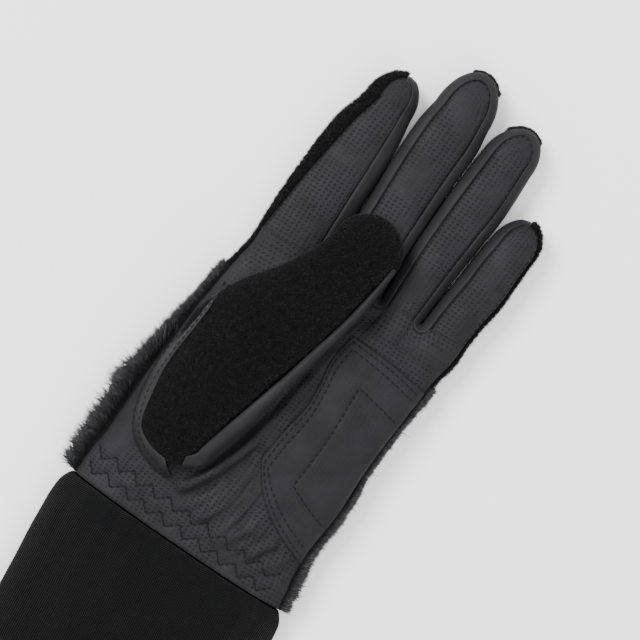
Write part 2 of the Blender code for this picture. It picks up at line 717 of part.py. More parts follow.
def make_thumb():
    """The thumb's fleece, which faces up, and its leather: the under side and the roll along its edge."""
    form = new_form()
    places = thumb_rows()
    seam_column = len(THUMB_FLEECE_COLUMNS) - 1
    columns = seam_column + len(THUMB_ROLL_COLUMNS)

    def side_point(column, row, top):
        body, end = places[row]
        seam = thumb_seam_level(body)
        if column <= seam_column:
            u = between(-1.0, seam, THUMB_FLEECE_COLUMNS[column])
        else:
            u = between(seam, 1.0, THUMB_ROLL_COLUMNS[column - seam_column - 1])
        return thumb_point(u, body + end, top)

    def top_panel(column, row):
        below_tip = row < ROUND_TIP + THUMB_ROWS
        return THUMB_LEATHER if column >= seam_column and below_tip else THUMB_FLEECE

    lay_sheet(form, columns, len(places) - 1,
              lambda column, row: side_point(column, row, True), top_panel)
    lay_sheet(form, columns, len(places) - 1,
              lambda column, row: side_point(column, row, False), lambda column, row: THUMB_LEATHER)
    weld_form(form)
    add_object("thumb_fleece", cut_panel(form, THUMB_FLEECE, FLEECE)[0], FLEECE_FINISH)
    leather = add_object("thumb_leather", cut_panel(form, THUMB_LEATHER, LEATHER)[0], LEATHER_FINISH)
    cut_thumb_hole(leather)
    form.free()


def make_thumb_hole():
    """The cutter for the hole between the hand and the thumb."""
    bm = bmesh.new()
    bmesh.ops.create_cone(bm, cap_ends=True, segments=32, radius1=0.5, radius2=0.5, depth=1.0)
    mesh = bpy.data.meshes.new("thumb_hole")
    bm.to_mesh(mesh)
    bm.free()
    cutter = bpy.data.objects.new("thumb_hole", mesh)
    cutter.location = (
        THUMB_AXIS + THUMB_HOLE_ACROSS * THUMB_WIDTH,
        THUMB_START + THUMB_HOLE_ALONG * THUMB_LENGTH - ORIGIN_FROM_SEAM,
        PALM_DEPTH,
    )
    cutter.rotation_euler.z = THUMB_HOLE_TURN
    cutter.scale = (THUMB_HOLE_WIDTH, THUMB_HOLE_LENGTH, PALM_DEPTH)
    cutter.hide_render = True
    cutter.display_type = "WIRE"
    cutters.objects.link(cutter)
    return cutter


def cut_thumb_hole(obj):
    cut = obj.modifiers.new("thumb hole", "BOOLEAN")
    cut.operation = "DIFFERENCE"
    cut.object = thumb_hole
    cut.solver = "EXACT"


def make_heel_patch():
    """The leather patch sewn over the heel of the palm, on the little finger's side."""
    form = new_form()
    corner_x = PATCH_CORNER[0] * PALM_WIDTH
    corner_y = PATCH_CORNER[1] * PALM_LENGTH

    def patch_point(column, row):
        across, along = column / PATCH_COLUMNS, row / PATCH_ROWS
        inner = read(PATCH_INNER_EDGE, "along", "across", along) * PATCH_WIDTH
        lower = read(PATCH_LOWER_EDGE, "across", "along", across) * PATCH_LENGTH
        upper = PATCH_LENGTH * (1 - PATCH_OUTER_DROP * across**2)
        y = corner_y + between(lower, upper, along)
        left, right = palm_edges(y)[:2]
        side = (left + right) / 2 + (right - left) / 2 * PATCH_SIDE
        x = between(corner_x + inner, side, across)
        return Vector((x, y, palm_height(x, y)))

    lay_sheet(form, PATCH_COLUMNS, PATCH_ROWS, patch_point, lambda column, row: 0)
    weld_form(form)
    if form.faces[0].normal.z < 0:
        bmesh.ops.reverse_faces(form, faces=form.faces[:])
        form.normal_update()
    outward = form.verts.layers.float_vector["outward"]
    for vert in form.verts:
        vert[outward] = vert.normal
        vert.co += vert.normal * (PATCH_LEATHER + SEAM_GAP)
    add_object("heel_patch", cut_panel(form, 0, PATCH_LEATHER)[0], PATCH_FINISH)
    form.free()


def make_cuff():
    """The knitted cuff, a flattened tube that is open at both ends."""
    form = new_form()

    def cuff_point(column, row):
        along = row / CUFF_ROWS
        width = read(CUFF_STATIONS, "along", "width", along) * CUFF_WIDTH
        depth = read(CUFF_STATIONS, "along", "depth", along) * CUFF_DEPTH
        turn = 2 * math.pi * column / CUFF_COLUMNS
        level = math.cos(turn)
        seam = PALM_STATIONS[0].seam * PALM_DEPTH
        y = -SEAM_GAP - CUFF_LENGTH * along
        y += seam_slant((level + 1) / 2, 0.0) * (1 - along) ** 2
        full = palm_crown(level)
        if column % CUFF_COLUMNS > CUFF_COLUMNS / 2:
            z = max(0.0, seam - (seam + PRESSED_FLAT) * full)
        else:
            z = seam + (depth - seam) * full
        return Vector((width / 2 * level, y, z))

    lay_sheet(form, CUFF_COLUMNS, CUFF_ROWS, cuff_point, lambda column, row: 0)
    weld_form(form)
    add_object("knit_cuff", cut_panel(form, 0, KNIT)[0], KNIT_FINISH)
    form.free()


for old in list(bpy.data.objects):
    bpy.data.objects.remove(old, do_unlink=True)

glove = bpy.data.collections.new("winter_golf_glove")
cutters = bpy.data.collections.new("cutters")
bpy.context.scene.collection.children.link(glove)
bpy.context.scene.collection.children.link(cutters)

LEATHER_FINISH = make_material("leather", (0.045, 0.043, 0.049), 0.45)
PATCH_FINISH = make_material("patch_leather", (0.048, 0.046, 0.051), 0.42)
FLEECE_FINISH = make_material("fleece", (0.012, 0.012, 0.013), 0.95)
FUR_FINISH = make_material("fur", (0.030, 0.030, 0.032), 0.85)
KNIT_FINISH = make_material("knit", (0.010, 0.010, 0.011), 0.90)

thumb_hole = make_thumb_hole()
make_hand()
make_thumb()
make_heel_patch()
make_cuff()
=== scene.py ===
"""The looks of a winter golf glove for a left hand, lying on its back with the palm up.

Metres, +Z up, +Y along the fingers, +X towards the little finger. Lengths along Y are measured from
the cuff seam while a piece is shaped, and move to the part's own origin when it is finished.
"""

import math
import random
from collections import namedtuple
from functools import lru_cache

import bmesh
import bpy
from mathutils import Matrix, Vector, noise
from mathutils.bvhtree import BVHTree
from mathutils.kdtree import KDTree


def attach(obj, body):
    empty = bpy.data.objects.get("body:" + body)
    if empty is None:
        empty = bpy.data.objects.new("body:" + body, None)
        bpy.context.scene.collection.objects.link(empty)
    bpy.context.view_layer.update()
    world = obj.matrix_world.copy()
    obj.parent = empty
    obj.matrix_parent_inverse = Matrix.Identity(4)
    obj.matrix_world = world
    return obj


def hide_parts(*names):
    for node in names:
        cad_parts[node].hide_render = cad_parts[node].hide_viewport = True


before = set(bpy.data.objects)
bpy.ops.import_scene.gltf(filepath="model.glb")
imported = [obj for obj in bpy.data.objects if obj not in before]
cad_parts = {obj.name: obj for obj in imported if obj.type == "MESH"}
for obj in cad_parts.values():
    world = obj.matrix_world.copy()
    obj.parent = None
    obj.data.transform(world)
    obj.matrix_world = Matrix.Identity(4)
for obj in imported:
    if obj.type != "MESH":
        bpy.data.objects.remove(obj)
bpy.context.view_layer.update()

# Palm and hand back
PALM_LENGTH = 0.113  # from the cuff seam to the finger crotches
PALM_WIDTH = 0.089  # across the palm at the cuff seam
PALM_DEPTH = 0.020  # from the surface it lies on to the top of the palm
ORIGIN_FROM_SEAM = 0.39 * PALM_LENGTH  # from the cuff seam to the origin, under the hand back
KNUCKLE_BLEND = 0.018  # the stretch over which the palm rises into the rounded fingers
SEAM_SLANT = 0.0042  # the cuff seam lies this much further up the hand on the thumb side
SLANT_REACH = 0.25 * PALM_LENGTH  # the stretch over which that slant fades out
SLANT_CURVE = 1.5

# Fingers
INDEX_LENGTH, INDEX_WIDTH = 0.0730, 0.0275
MIDDLE_LENGTH, MIDDLE_WIDTH = 0.0875, 0.0225
RING_LENGTH, RING_WIDTH = 0.0785, 0.0205
LITTLE_LENGTH, LITTLE_WIDTH = 0.0513, 0.0190
FINGER_DEPTH = 0.015
FINGER_GAP = 0.0008  # air between two fingers that lie side by side
THUMB_SIDE = 0.0333  # from the middle of the wrist to the index finger's outer edge

# Thumb
THUMB_LENGTH = 0.1124
THUMB_WIDTH = 0.0416
THUMB_START = 0.0250  # from the cuff seam to the lower end of the thumb
THUMB_AXIS = -0.0155  # across, the line that the thumb's sections are measured from
THUMB_DEPTH = 0.0135
THUMB_LIFT = 0.0008  # air between the thumb and what it lies on
THUMB_HOLE_LENGTH, THUMB_HOLE_WIDTH = 0.054, 0.023
THUMB_HOLE_TURN = math.radians(-6)
THUMB_HOLE_ACROSS, THUMB_HOLE_ALONG = -0.13, 0.29  # its middle, shares of the thumb's width and length

# Cuff and patch
CUFF_LENGTH = 0.060
CUFF_WIDTH = 0.0935
CUFF_DEPTH = 0.0162
PATCH_LENGTH = 0.0530  # along its inner edge
PATCH_WIDTH = 0.0330

# Material thicknesses and clearances
LEATHER = 0.0013
PATCH_LEATHER = 0.0010
FLEECE = 0.0024
FUR_BACKING = 0.0016
FUR_DEPTH = 0.0030
KNIT = 0.0026
SEAM_GAP = 0.0003

# How full a section is: 0.5 is an ellipse, less is squarer
ROUNDNESS = 0.45
PALM_SQUARENESS = 3.2
PRESSED_FLAT = 0.0016  # how far the back is pressed against the surface it lies on

# Mesh divisions
ACROSS_FINGER = 28
ALONG_FINGER = 64
ROUND_TIP = 14
ROUND_CROTCH = 8
BAND_HALF = 6  # columns of a finger's side band from the front's edge to the outline
PALM_ROWS = 150
BACK_SEAM = 0.84  # where the deep fur ends and the fleece of the fingers begins, a share of the palm
FUR_COLUMNS = 90
CUFF_COLUMNS, CUFF_ROWS = 240, 44
THUMB_ROWS, THUMB_ROUND = 96, 14
THUMB_FLEECE_COLUMNS, THUMB_ROLL_COLUMNS = 40, 14
THUMB_COLUMN_TURN = 0.86 * math.pi
PATCH_COLUMNS, PATCH_ROWS = 52, 76

# Seams, stitches and textures
SEAM_SINK = 0.00024  # how deep the leather turns in at a seam
SEAM_ROLL = 0.0006  # the width over which it does so
SEAM_SWELL = 0.0001
SEAM_TO_STITCH = 0.0008
STRIP_SWELL = 0.0003
ROLL_RISE = 0.0011  # how far the thumb's roll of leather stands over the fleece beside it
# Where the fleece of the finger backs shows round a tip: from its end down, and left of its end
TIP_FLEECE_ALONG, TIP_FLEECE_LEFT = 0.0042, 0.0028
HIDDEN_SEAMS = (("index", 1),)  # folded in where the photo shows no stitches
# The hem round the thumb: how far it reaches out from its outer row of stitches and over the fleece
HEM_OUTSIDE = 0.0009
HEM_OVER_FLEECE = 0.0011
HEM_STITCH_ROWS = (0.0, 0.0024)  # its rows of stitches, from the outer one
HEM_SEARCH = 24  # steps to look for the fleece's edge
HEM_LIFT = 0.0006
HEM_LEATHER = 0.0008
HEM_COLUMNS, HEM_STEPS = 12, 12
LEATHER_SHINE = 0.13
DIMPLE_STEP, DIMPLE_ROW = 1.9, 1.5  # millimetres
DIMPLE_LONG, DIMPLE_WIDE = 0.55, 0.33  # half sizes of a dimple, in millimetres
KNIT_RIB, KNIT_LOOP = 0.75, 0.9  # millimetres
PATCH_LINE_ENDS = (0.97, 0.97)  # where a line of stitches on the patch starts and ends, across
# A stitch's length and thickness, and how far apart the stitches of a row are
FINGER_STITCH, FINGER_STITCH_STEP = (0.0016, 0.00046), 0.0023
PATCH_STITCH, PATCH_STITCH_STEP = (0.0018, 0.00052), 0.0024
HEM_STITCH, HEM_STITCH_STEP = (0.0018, 0.00052), 0.0025
ELASTIC_STITCH = (0.0019, 0.00058)
ZigzagRow = namedtuple("ZigzagRow", "low high")
ZIGZAG_ROWS = (ZigzagRow(0.122, 0.066), ZigzagRow(0.066, 0.014))
ZIGZAG_RISE = 0.033
ZIGZAG_START, ZIGZAG_END = -0.460, 0.43  # across, shares of the palm's width
ZIGZAG_STEPS = (0.036, 0.052)  # across, from a high point to the next low one and on to a high one
ZIGZAG_STITCHES = 3  # on each leg

# The stitches that join the thumb, on the palm: shares of the palm's width and length
SeamPlace = namedtuple("SeamPlace", "across along")
THUMB_SEAM_LINE = (
    SeamPlace(-0.366, 0.790), SeamPlace(-0.386, 0.715), SeamPlace(-0.415, 0.593),
    SeamPlace(-0.433, 0.458), SeamPlace(-0.422, 0.354), SeamPlace(-0.383, 0.263),
    SeamPlace(-0.312, 0.213), SeamPlace(-0.221, 0.185), SeamPlace(-0.146, 0.178),
)

# Creases of the palm leather, drawn out from the thumb's lower end and from the gathers by the cuff,
# in millimetres from the wrist's middle and the cuff seam: ridges, or valleys where height is negative
Crease = namedtuple("Crease", "height half_width points")
CREASES = (
    Crease(1.0, 1.5, ((-8.6, 19.5), (-4.1, 25.6), (-0.2, 34.1), (2.9, 41.2), (5.4, 51.8), (7.8, 61),
                      (9.9, 70.1), (11.9, 80.4), (13.5, 88))),
    Crease(-0.8, 1.2, ((-9, 24), (-5, 30.5), (-2.2, 38.5), (0.6, 47), (3.4, 57), (5.8, 67), (8, 77))),
    Crease(-0.6, 0.9, ((-2, 22), (2.6, 31), (6, 40), (8.8, 50), (10.8, 60), (12.8, 70))),
    Crease(0.8, 1.0, ((4.2, 15.1), (7.6, 24), (9.4, 33.7), (8.9, 42.8))),
    Crease(-0.6, 0.9, ((6.4, 15), (10.3, 24), (11.8, 33.7), (11.3, 42.8))),
    Crease(0.7, 1.0, ((10.6, 10), (13.1, 18), (14.9, 25.1), (15.8, 32.9))),
    Crease(-0.5, 0.9, ((13.1, 10), (15.6, 18), (17.2, 25.1))),
    Crease(0.7, 1.0, ((19.2, 10), (22, 15.5), (24.1, 21.3))),
    Crease(-0.5, 0.9, ((21.5, 10), (24.4, 15.5), (26.4, 20.5))),
    Crease(0.7, 1.0, ((23.7, 10.4), (27, 15.5), (29.7, 20))),
    Crease(-0.5, 0.9, ((26.6, 10), (29.7, 15), (32.4, 19))),
    Crease(0.7, 1.0, ((30.1, 9.6), (34, 14.6), (37.5, 18.9))),
    Crease(-0.5, 1.0, ((-0.5, 13), (3, 22), (7, 33))),
    Crease(-0.35, 1.6, ((22, 106), (22.5, 111), (23, 115))),
)

# Camera, straight above, and light. Places are from the cuff seam
CAMERA_OVER = (0.0025, 0.0953)
CAMERA_TURN = math.radians(31.5)
CAMERA_FRAME = 0.224  # the width of what it sees, at this level
CAMERA_LEVEL = 0.018
CAMERA_LENS = 100.0
WORLD_LIGHT = 1.1
LIGHTS = (  # name, place from the middle, size, power
    ("key", (-0.75, 0.25, 0.95), 0.6, 24.0),
    ("fill", (0.7, -0.5, 0.9), 1.0, 9.0),
    ("top", (0.1, 0.3, 1.3), 0.8, 9.0),
)

Finger = namedtuple("Finger", "name length width body skew front_tip front_right stations")
# along: share of the body before the round tip; left and right: edges, shares of the finger's width
# from the middle of its base; front: the leather front's left edge, a share of the half width
FingerStation = namedtuple("FingerStation", "along left right front")

FINGERS = (
    Finger("index", INDEX_LENGTH, INDEX_WIDTH, 0.82, 0.02, 0.86, 0.62, (
        FingerStation(0.00, -0.496, 0.496, 0.93),
        FingerStation(0.43, -0.464, 0.496, 0.70),
        FingerStation(0.80, -0.362, 0.489, 0.56),
        FingerStation(1.00, -0.213, 0.449, 0.48),
    )),
    Finger("middle", MIDDLE_LENGTH, MIDDLE_WIDTH, 0.81, 0.01, 0.81, 0.70, (
        FingerStation(0.00, -0.482, 0.482, 0.70),
        FingerStation(0.31, -0.482, 0.495, 0.70),
        FingerStation(0.66, -0.482, 0.544, 0.70),
        FingerStation(0.87, -0.456, 0.589, 0.70),
        FingerStation(1.00, -0.380, 0.558, 0.70),
    )),
    Finger("ring", RING_LENGTH, RING_WIDTH, 0.83, 0.07, 0.80, 0.68, (
        FingerStation(0.00, -0.395, 0.395, 0.66),
        FingerStation(0.28, -0.395, 0.493, 0.66),
        FingerStation(0.54, -0.366, 0.600, 0.66),
        FingerStation(0.72, -0.327, 0.673, 0.66),
        FingerStation(1.00, -0.234, 0.693, 0.66),
    )),
    Finger("little", LITTLE_LENGTH, LITTLE_WIDTH, 0.76, 0.06, 0.86, 0.93, (
        FingerStation(0.00, -0.455, 0.455, 0.66),
        FingerStation(0.21, -0.413, 0.508, 0.66),
        FingerStation(0.51, -0.324, 0.618, 0.66),
        FingerStation(0.77, -0.266, 0.655, 0.66),
        FingerStation(1.00, -0.187, 0.692, 0.66),
    )),
)
BACK_LIMIT = 0.80  # the fleece back's edge on the underside, a share of the half width

# along: share of the palm's length; left and right: edges, shares of the palm's width;
# seam and top: heights of the side seam and of the palm, shares of the palm's depth
PalmStation = namedtuple("PalmStation", "along left right seam top")
PALM_STATIONS = (
    PalmStation(0.000, -0.501, 0.501, 0.40, 0.82),
    PalmStation(0.110, -0.494, 0.487, 0.40, 0.88),
    PalmStation(0.200, -0.483, 0.479, 0.41, 0.93),
    PalmStation(0.350, -0.470, 0.502, 0.43, 0.99),
    PalmStation(0.500, -0.456, 0.506, 0.44, 1.00),
    PalmStation(0.730, -0.425, 0.531, 0.42, 0.96),
    PalmStation(0.870, -0.398, 0.553, 0.40, 0.87),
)
# Folds of the palm leather: both ends, across as shares of the palm's width and along as shares of
# its length, then the height, a share of the palm's depth, and the half width, a share of its width
Fold = namedtuple("Fold", "across along to_across to_along height half_width")
FOLDS = (
    Fold(-0.110, 0.180, 0.010, 0.290, 0.100, 0.030),
    Fold(0.010, 0.290, 0.085, 0.440, 0.110, 0.030),
    Fold(0.085, 0.440, 0.130, 0.590, 0.060, 0.026),
    Fold(-0.075, 0.140, 0.010, 0.245, -0.080, 0.026),
    Fold(0.010, 0.245, 0.100, 0.410, -0.080, 0.026),
    Fold(0.020, 0.110, 0.130, 0.240, 0.075, 0.024),
    Fold(0.138, 0.078, 0.237, 0.190, 0.075, 0.022),
    Fold(0.260, 0.100, 0.330, 0.190, 0.070, 0.022),
    Fold(0.345, 0.080, 0.425, 0.150, 0.060, 0.020),
    Fold(-0.300, 0.060, -0.200, 0.120, 0.045, 0.026),
)

# along: share of the thumb's length; left, seam and right: shares of its width from its axis, with
# the fleece from left to seam and the leather roll from seam to right; low and high: heights of the
# left and right edges over what the thumb lies on; rise: the crown above them, shares of its depth
ThumbStation = namedtuple("ThumbStation", "along left seam right low high rise")
THUMB_STATIONS = (
    ThumbStation(0.100, -0.455, 0.140, 0.265, 0.17, 0.30, 0.42),
    ThumbStation(0.230, -0.500, 0.250, 0.395, 0.17, 0.34, 0.60),
    ThumbStation(0.350, -0.515, 0.355, 0.472, 0.18, 0.38, 0.68),
    ThumbStation(0.450, -0.505, 0.440, 0.546, 0.22, 0.40, 0.70),
    ThumbStation(0.520, -0.425, 0.495, 0.592, 0.30, 0.42, 0.66),
    ThumbStation(0.600, -0.310, 0.560, 0.646, 0.40, 0.44, 0.60),
    ThumbStation(0.700, -0.095, 0.630, 0.712, 0.44, 0.45, 0.57),
    ThumbStation(0.790, 0.050, 0.680, 0.742, 0.45, 0.45, 0.55),
    ThumbStation(0.880, 0.160, 0.735, 0.772, 0.45, 0.45, 0.52),
)
THUMB_TIP_SHARE = 0.12  # the round tip's share of the thumb's length
THUMB_HEEL_SHARE = 0.10

# The patch's edges, as shares of its width and length from its lower inner corner
PatchEdge = namedtuple("PatchEdge", "along across")
PATCH_CORNER = (0.115, 0.385)  # that corner, as shares of the palm's width and length
PATCH_INNER_EDGE = (
    PatchEdge(0.00, 0.000), PatchEdge(0.22, 0.045), PatchEdge(0.45, 0.120),
    PatchEdge(0.62, 0.115), PatchEdge(0.80, 0.085), PatchEdge(1.00, 0.150),
)
# how far along the patch its lower edge lies, from the inner corner to the outer one
PATCH_LOWER_EDGE = (
    PatchEdge(0.000, 0.00), PatchEdge(-0.150, 0.15), PatchEdge(-0.270, 0.35),
    PatchEdge(-0.370, 0.60), PatchEdge(-0.480, 1.00),
)
PATCH_OUTER_DROP = 0.075  # the upper edge falls by this share of the length towards the side seam
PATCH_SIDE = 0.965  # the patch's outer edge, a share of the palm's half width

# Cuff sections: along as a share of its length, width and depth as shares of the cuff's
CuffStation = namedtuple("CuffStation", "along width depth")
CUFF_STATIONS = (
    CuffStation(0.00, 0.950, 0.93),
    CuffStation(0.08, 1.005, 1.00),
    CuffStation(0.25, 1.015, 1.00),
    CuffStation(0.60, 0.985, 0.95),
    CuffStation(0.95, 0.965, 0.90),
    CuffStation(1.00, 0.955, 0.88),
)

FINGER_MIDDLE = FINGER_DEPTH / 2
EDGE_SNAP = 1e-5  # a place this near a section's edge is on it, so that upper and under side meet


def between(low, high, share):
    return low + (high - low) * share


def ease(share):
    share = min(max(share, 0.0), 1.0)
    return share * share * (3 - 2 * share)


def read(table, key, column, at):
    """A column of a table at a place between its rows, along one smooth curve through them."""
    keys = [getattr(row, key) for row in table]
    values = [getattr(row, column) for row in table]
    if at <= keys[0]:
        return values[0]
    if at >= keys[-1]:
        return values[-1]
    n = max(i for i in range(len(keys) - 1) if keys[i] <= at)
    span = keys[n + 1] - keys[n]

    def slope(i):
        low, high = max(i - 1, 0), min(i + 1, len(keys) - 1)
        return (values[high] - values[low]) / (keys[high] - keys[low])

    t = (at - keys[n]) / span
    return (
        values[n] * (2 * t**3 - 3 * t**2 + 1)
        + values[n + 1] * (3 * t**2 - 2 * t**3)
        + span * slope(n) * (t**3 - 2 * t**2 + t)
        + span * slope(n + 1) * (t**3 - t**2)
    )


def crown(level, power=2.0, root=ROUNDNESS):
    """How high a round section stands at this share of its half width: 1 in the middle, 0 at its edge."""
    return (1 - abs(level) ** power) ** root if abs(level) < 1 - EDGE_SNAP else 0.0


def palm_crown(level):
    return crown(level, PALM_SQUARENESS, 0.5)


def finger_bases():
    """The middle of each finger's base, with the fingers side by side from the index's outer edge."""
    places, edge = [], -THUMB_SIDE
    for finger in FINGERS:
        first = finger.stations[0]
        places.append(edge - first.left * finger.width)
        edge = places[-1] + first.right * finger.width + FINGER_GAP
    return dict(zip((finger.name for finger in FINGERS), places))


BASES = finger_bases()


def finger_point(finger, u, v, top):
    """A point of a finger's outer surface: u from edge to edge, v from 0 at its base to 1 where the
    round tip starts and 2 at the tip's end, on its palm side or on its back."""
    if v > 1:
        return tip_point(finger, math.copysign(1, u), *tip_turn(u, v - 1), top)
    left = read(finger.stations, "along", "left", v) * finger.width
    right = read(finger.stations, "along", "right", v) * finger.width
    x = BASES[finger.name] + (left + right) / 2 + (right - left) / 2 * u
    return Vector((x, PALM_LENGTH + finger.length * finger.body * v, finger_height(abs(u), top)))


def tip_point(finger, side, level, turn, top):
    """A point of a finger's round tip: level from its middle to its outline, and turn from its side to
    its end."""
    left, right = (read(finger.stations, "along", name, 1.0) * finger.width
                   for name in ("left", "right"))
    x = BASES[finger.name] + (left + right) / 2
    x += side * (right - left) / 2 * level * math.cos(turn)
    x += finger.skew * finger.width * level * math.sin(turn)
    body = finger.length * finger.body
    y = PALM_LENGTH + body + (finger.length - body) * level * math.sin(turn)
    return Vector((x, y, finger_height(level, top)))


def finger_height(level, top):
    if top:
        return FINGER_MIDDLE * (1 + crown(level))
    return max(0.0, FINGER_MIDDLE - (FINGER_MIDDLE + PRESSED_FLAT) * crown(level))


def front_limit(finger, side, v):
    """The share of the half width where the leather front ends, on the left (-1) or right (+1) side."""
    if side > 0:
        return finger.front_right
    return read(finger.stations, "along", "front", min(v, 1.0))


# How far the fur stands out past the hand's sides, along the hand back, as shares of its length, with
# the lengths as shares of the fur's depth
FurReach = namedtuple("FurReach", "along thumb_side little_side")
FUR_REACH = (
    FurReach(0.00, 1.30, 0.95), FurReach(0.20, 1.70, 0.85), FurReach(0.45, 2.00, 0.70),
    FurReach(0.65, 1.20, 0.35), FurReach(0.80, 0.50, 0.35), FurReach(1.00, 0.35, 0.75),
)


def column_share(column):
    """A column's place across a finger, from -1 at its left edge to 1 at its right edge."""
    return 2 * column / ACROSS_FINGER - 1


def finger_rows():
    """Places along a finger: stations of its body, then steps of its round tip, as (body, tip) shares."""
    body = [(j / ALONG_FINGER, 0.0) for j in range(ALONG_FINGER + 1)]
    return body + [(1.0, j / ROUND_TIP) for j in range(1, ROUND_TIP + 1)]


def tip_turn(share, tip):
    """(level, turn) of a place on a round tip, which lays the square of shares out as a half disc."""
    level = max(abs(share), tip)
    return level, math.pi / 4 * (tip / abs(share) if abs(share) >= tip else 2 - abs(share) / tip)


def front_point(finger, column, row):
    body, tip = finger_rows()[row]
    share = column_share(column)
    side = math.copysign(1, share)
    limit = front_limit(finger, side, body)
    if not tip:
        return finger_point(finger, share * limit, body, True)
    level, turn = tip_turn(share, tip)
    limit = between(limit, finger.front_tip, ease(2 * turn / math.pi))
    return tip_point(finger, side, level * limit, turn, True)


def back_point(finger, column, row):
    body, tip = finger_rows()[row]
    return finger_point(finger, column_share(column) * BACK_LIMIT, body + tip * BACK_LIMIT, False)


def edge_places(finger, side):
    """Places round a finger's side, from its base to the middle of its tip: (side, place along the
    body, turn round the tip, the share of the half width where the leather front ends)."""
    places = []
    for body, tip in finger_rows():
        turn = tip_turn(1.0, tip)[1] if tip else 0.0
        limit = front_limit(finger, side, body)
        places.append((side, body, turn, between(limit, finger.front_tip, ease(2 * turn / math.pi))))
    limit = front_limit(finger, side, 1)
    for column in range(1, ACROSS_FINGER // 2 + 1):
        turn = tip_turn(1 - 2 * column / ACROSS_FINGER, 1.0)[1]
        places.append((side, 1.0, turn,
                       between(limit, finger.front_tip, ease(2 * turn / math.pi))))
    return places


def band_point(finger, place, column):
    """A point on a finger's side band, whose columns run from the front's edge over the outline to the
    back's edge."""
    side, body, turn, front = place
    if column <= BAND_HALF:
        level = between(front, 1.0, math.sin(math.pi / 2 * column / BAND_HALF))
    else:
        level = between(BACK_LIMIT, 1.0, math.sin(math.pi / 2 * (2 - column / BAND_HALF)))
    if body < 1 or turn == 0:
        return finger_point(finger, side * level, body, column <= BAND_HALF)
    return tip_point(finger, side, level, turn, column <= BAND_HALF)


def crotch_turn(left_point, right_point, share):
    """A point on the half circle round a crotch, from one finger's side to the next finger's."""
    middle, half = (left_point + right_point) / 2, (right_point - left_point) / 2
    turn = math.pi * share
    point = middle - half * math.cos(turn)
    point.y -= half.length * math.sin(turn)
    return point


@lru_cache(maxsize=None)
def palm_edges(y):
    """Left and right edge, seam height and top height of the hand at this distance from the cuff seam."""
    along = y / PALM_LENGTH
    last = PALM_STATIONS[-1]
    found = {
        name: read(PALM_STATIONS, "along", name, along)
        * (PALM_DEPTH if name in ("seam", "top") else PALM_WIDTH)
        for name in ("left", "right", "seam", "top")
    }
    share = ease((along - last.along) / (1 - last.along))
    first, little = FINGERS[0], FINGERS[-1]
    ends = {
        "left": BASES[first.name] + first.stations[0].left * first.width,
        "right": BASES[little.name] + little.stations[0].right * little.width,
        "seam": FINGER_MIDDLE,
        "top": FINGER_DEPTH,
    }
    return [between(found[name], ends[name], share) for name in ("left", "right", "seam", "top")]


def fold_height(x, y):
    """How far the folds of the leather lift or sink the palm here."""
    total = 0.0
    for fold in FOLDS:
        start_x, start_y = fold.across * PALM_WIDTH, fold.along * PALM_LENGTH
        line_x, line_y = fold.to_across * PALM_WIDTH - start_x, fold.to_along * PALM_LENGTH - start_y
        share = ((x - start_x) * line_x + (y - start_y) * line_y) / (line_x**2 + line_y**2)
        if not -0.25 < share < 1.25:
            continue
        on = min(max(share, 0.0), 1.0)
        away = math.hypot(x - start_x - line_x * on, y - start_y - line_y * on)
        away /= fold.half_width * PALM_WIDTH
        ends = ease((share + 0.25) * 2) * ease((1.25 - share) * 2)
        total += fold.height * PALM_DEPTH * math.exp(-away * away) * ends
    return total


def palm_height(x, y):
    """The palm's outer surface, without the finger bumps at the knuckles."""
    left, right, seam, top = palm_edges(y)
    level = (x - (left + right) / 2) / ((right - left) / 2)
    full = palm_crown(level)
    return seam + (top - seam) * full + fold_height(x, y) * full


def back_height(x, y):
    """The hand back's outer surface, pressed flat. The fur's backing lies the fur's depth higher."""
    left, right, seam, _ = palm_edges(y)
    lowest = FUR_DEPTH * (1 - ease((y / PALM_LENGTH - 0.75) / (BACK_SEAM - 0.75)))
    level = (x - (left + right) / 2) / ((right - left) / 2)
    depth = seam - lowest
    return max(lowest, seam - (depth + PRESSED_FLAT) * palm_crown(level))


def seam_slant(share, y):
    """The cuff seam's slant, which fades out up the hand. share is 0 at the thumb side."""
    return SEAM_SLANT * (1 - share) ** SLANT_CURVE * (1 - ease(y / SLANT_REACH))


def crotch_row(point_of, upper):
    """The points across the hand at the finger crotches, from edge to edge, on one side of the hand."""
    columns = range(BAND_HALF, 0, -1) if upper else range(BAND_HALF, 2 * BAND_HALF)
    points = [band_point(FINGERS[0], edge_places(FINGERS[0], -1)[0], column) for column in columns]
    for number, finger in enumerate(FINGERS):
        points += [point_of(finger, column, 0) for column in range(ACROSS_FINGER + 1)]
        if number + 1 < len(FINGERS):
            first, second = points[-1], point_of(FINGERS[number + 1], 0, 0)
            for j in range(1, ROUND_CROTCH):
                points.append(crotch_turn(first, second, j / ROUND_CROTCH))
    little_edge = edge_places(FINGERS[-1], 1)[0]
    return points + [band_point(FINGERS[-1], little_edge, column) for column in reversed(columns)]


def hand_point(row_points, column, row, height_of):
    """A point of the palm or back below the crotches, under the point of the crotch row in its column."""
    goal = row_points[column]
    if row == PALM_ROWS:
        return goal.copy()
    y = row / PALM_ROWS * PALM_LENGTH
    knuckle = ease((y - PALM_LENGTH + KNUCKLE_BLEND) / KNUCKLE_BLEND)
    first, last = row_points[0].x, row_points[-1].x
    share = (goal.x - first) / (last - first)
    left, right = palm_edges(y)[:2]
    across = between(left, right, share)
    dip = (PALM_LENGTH - goal.y) * knuckle
    z = between(height_of(across, y), goal.z, knuckle)
    return Vector((between(across, goal.x, knuckle), y - dip + seam_slant(share, y), z))


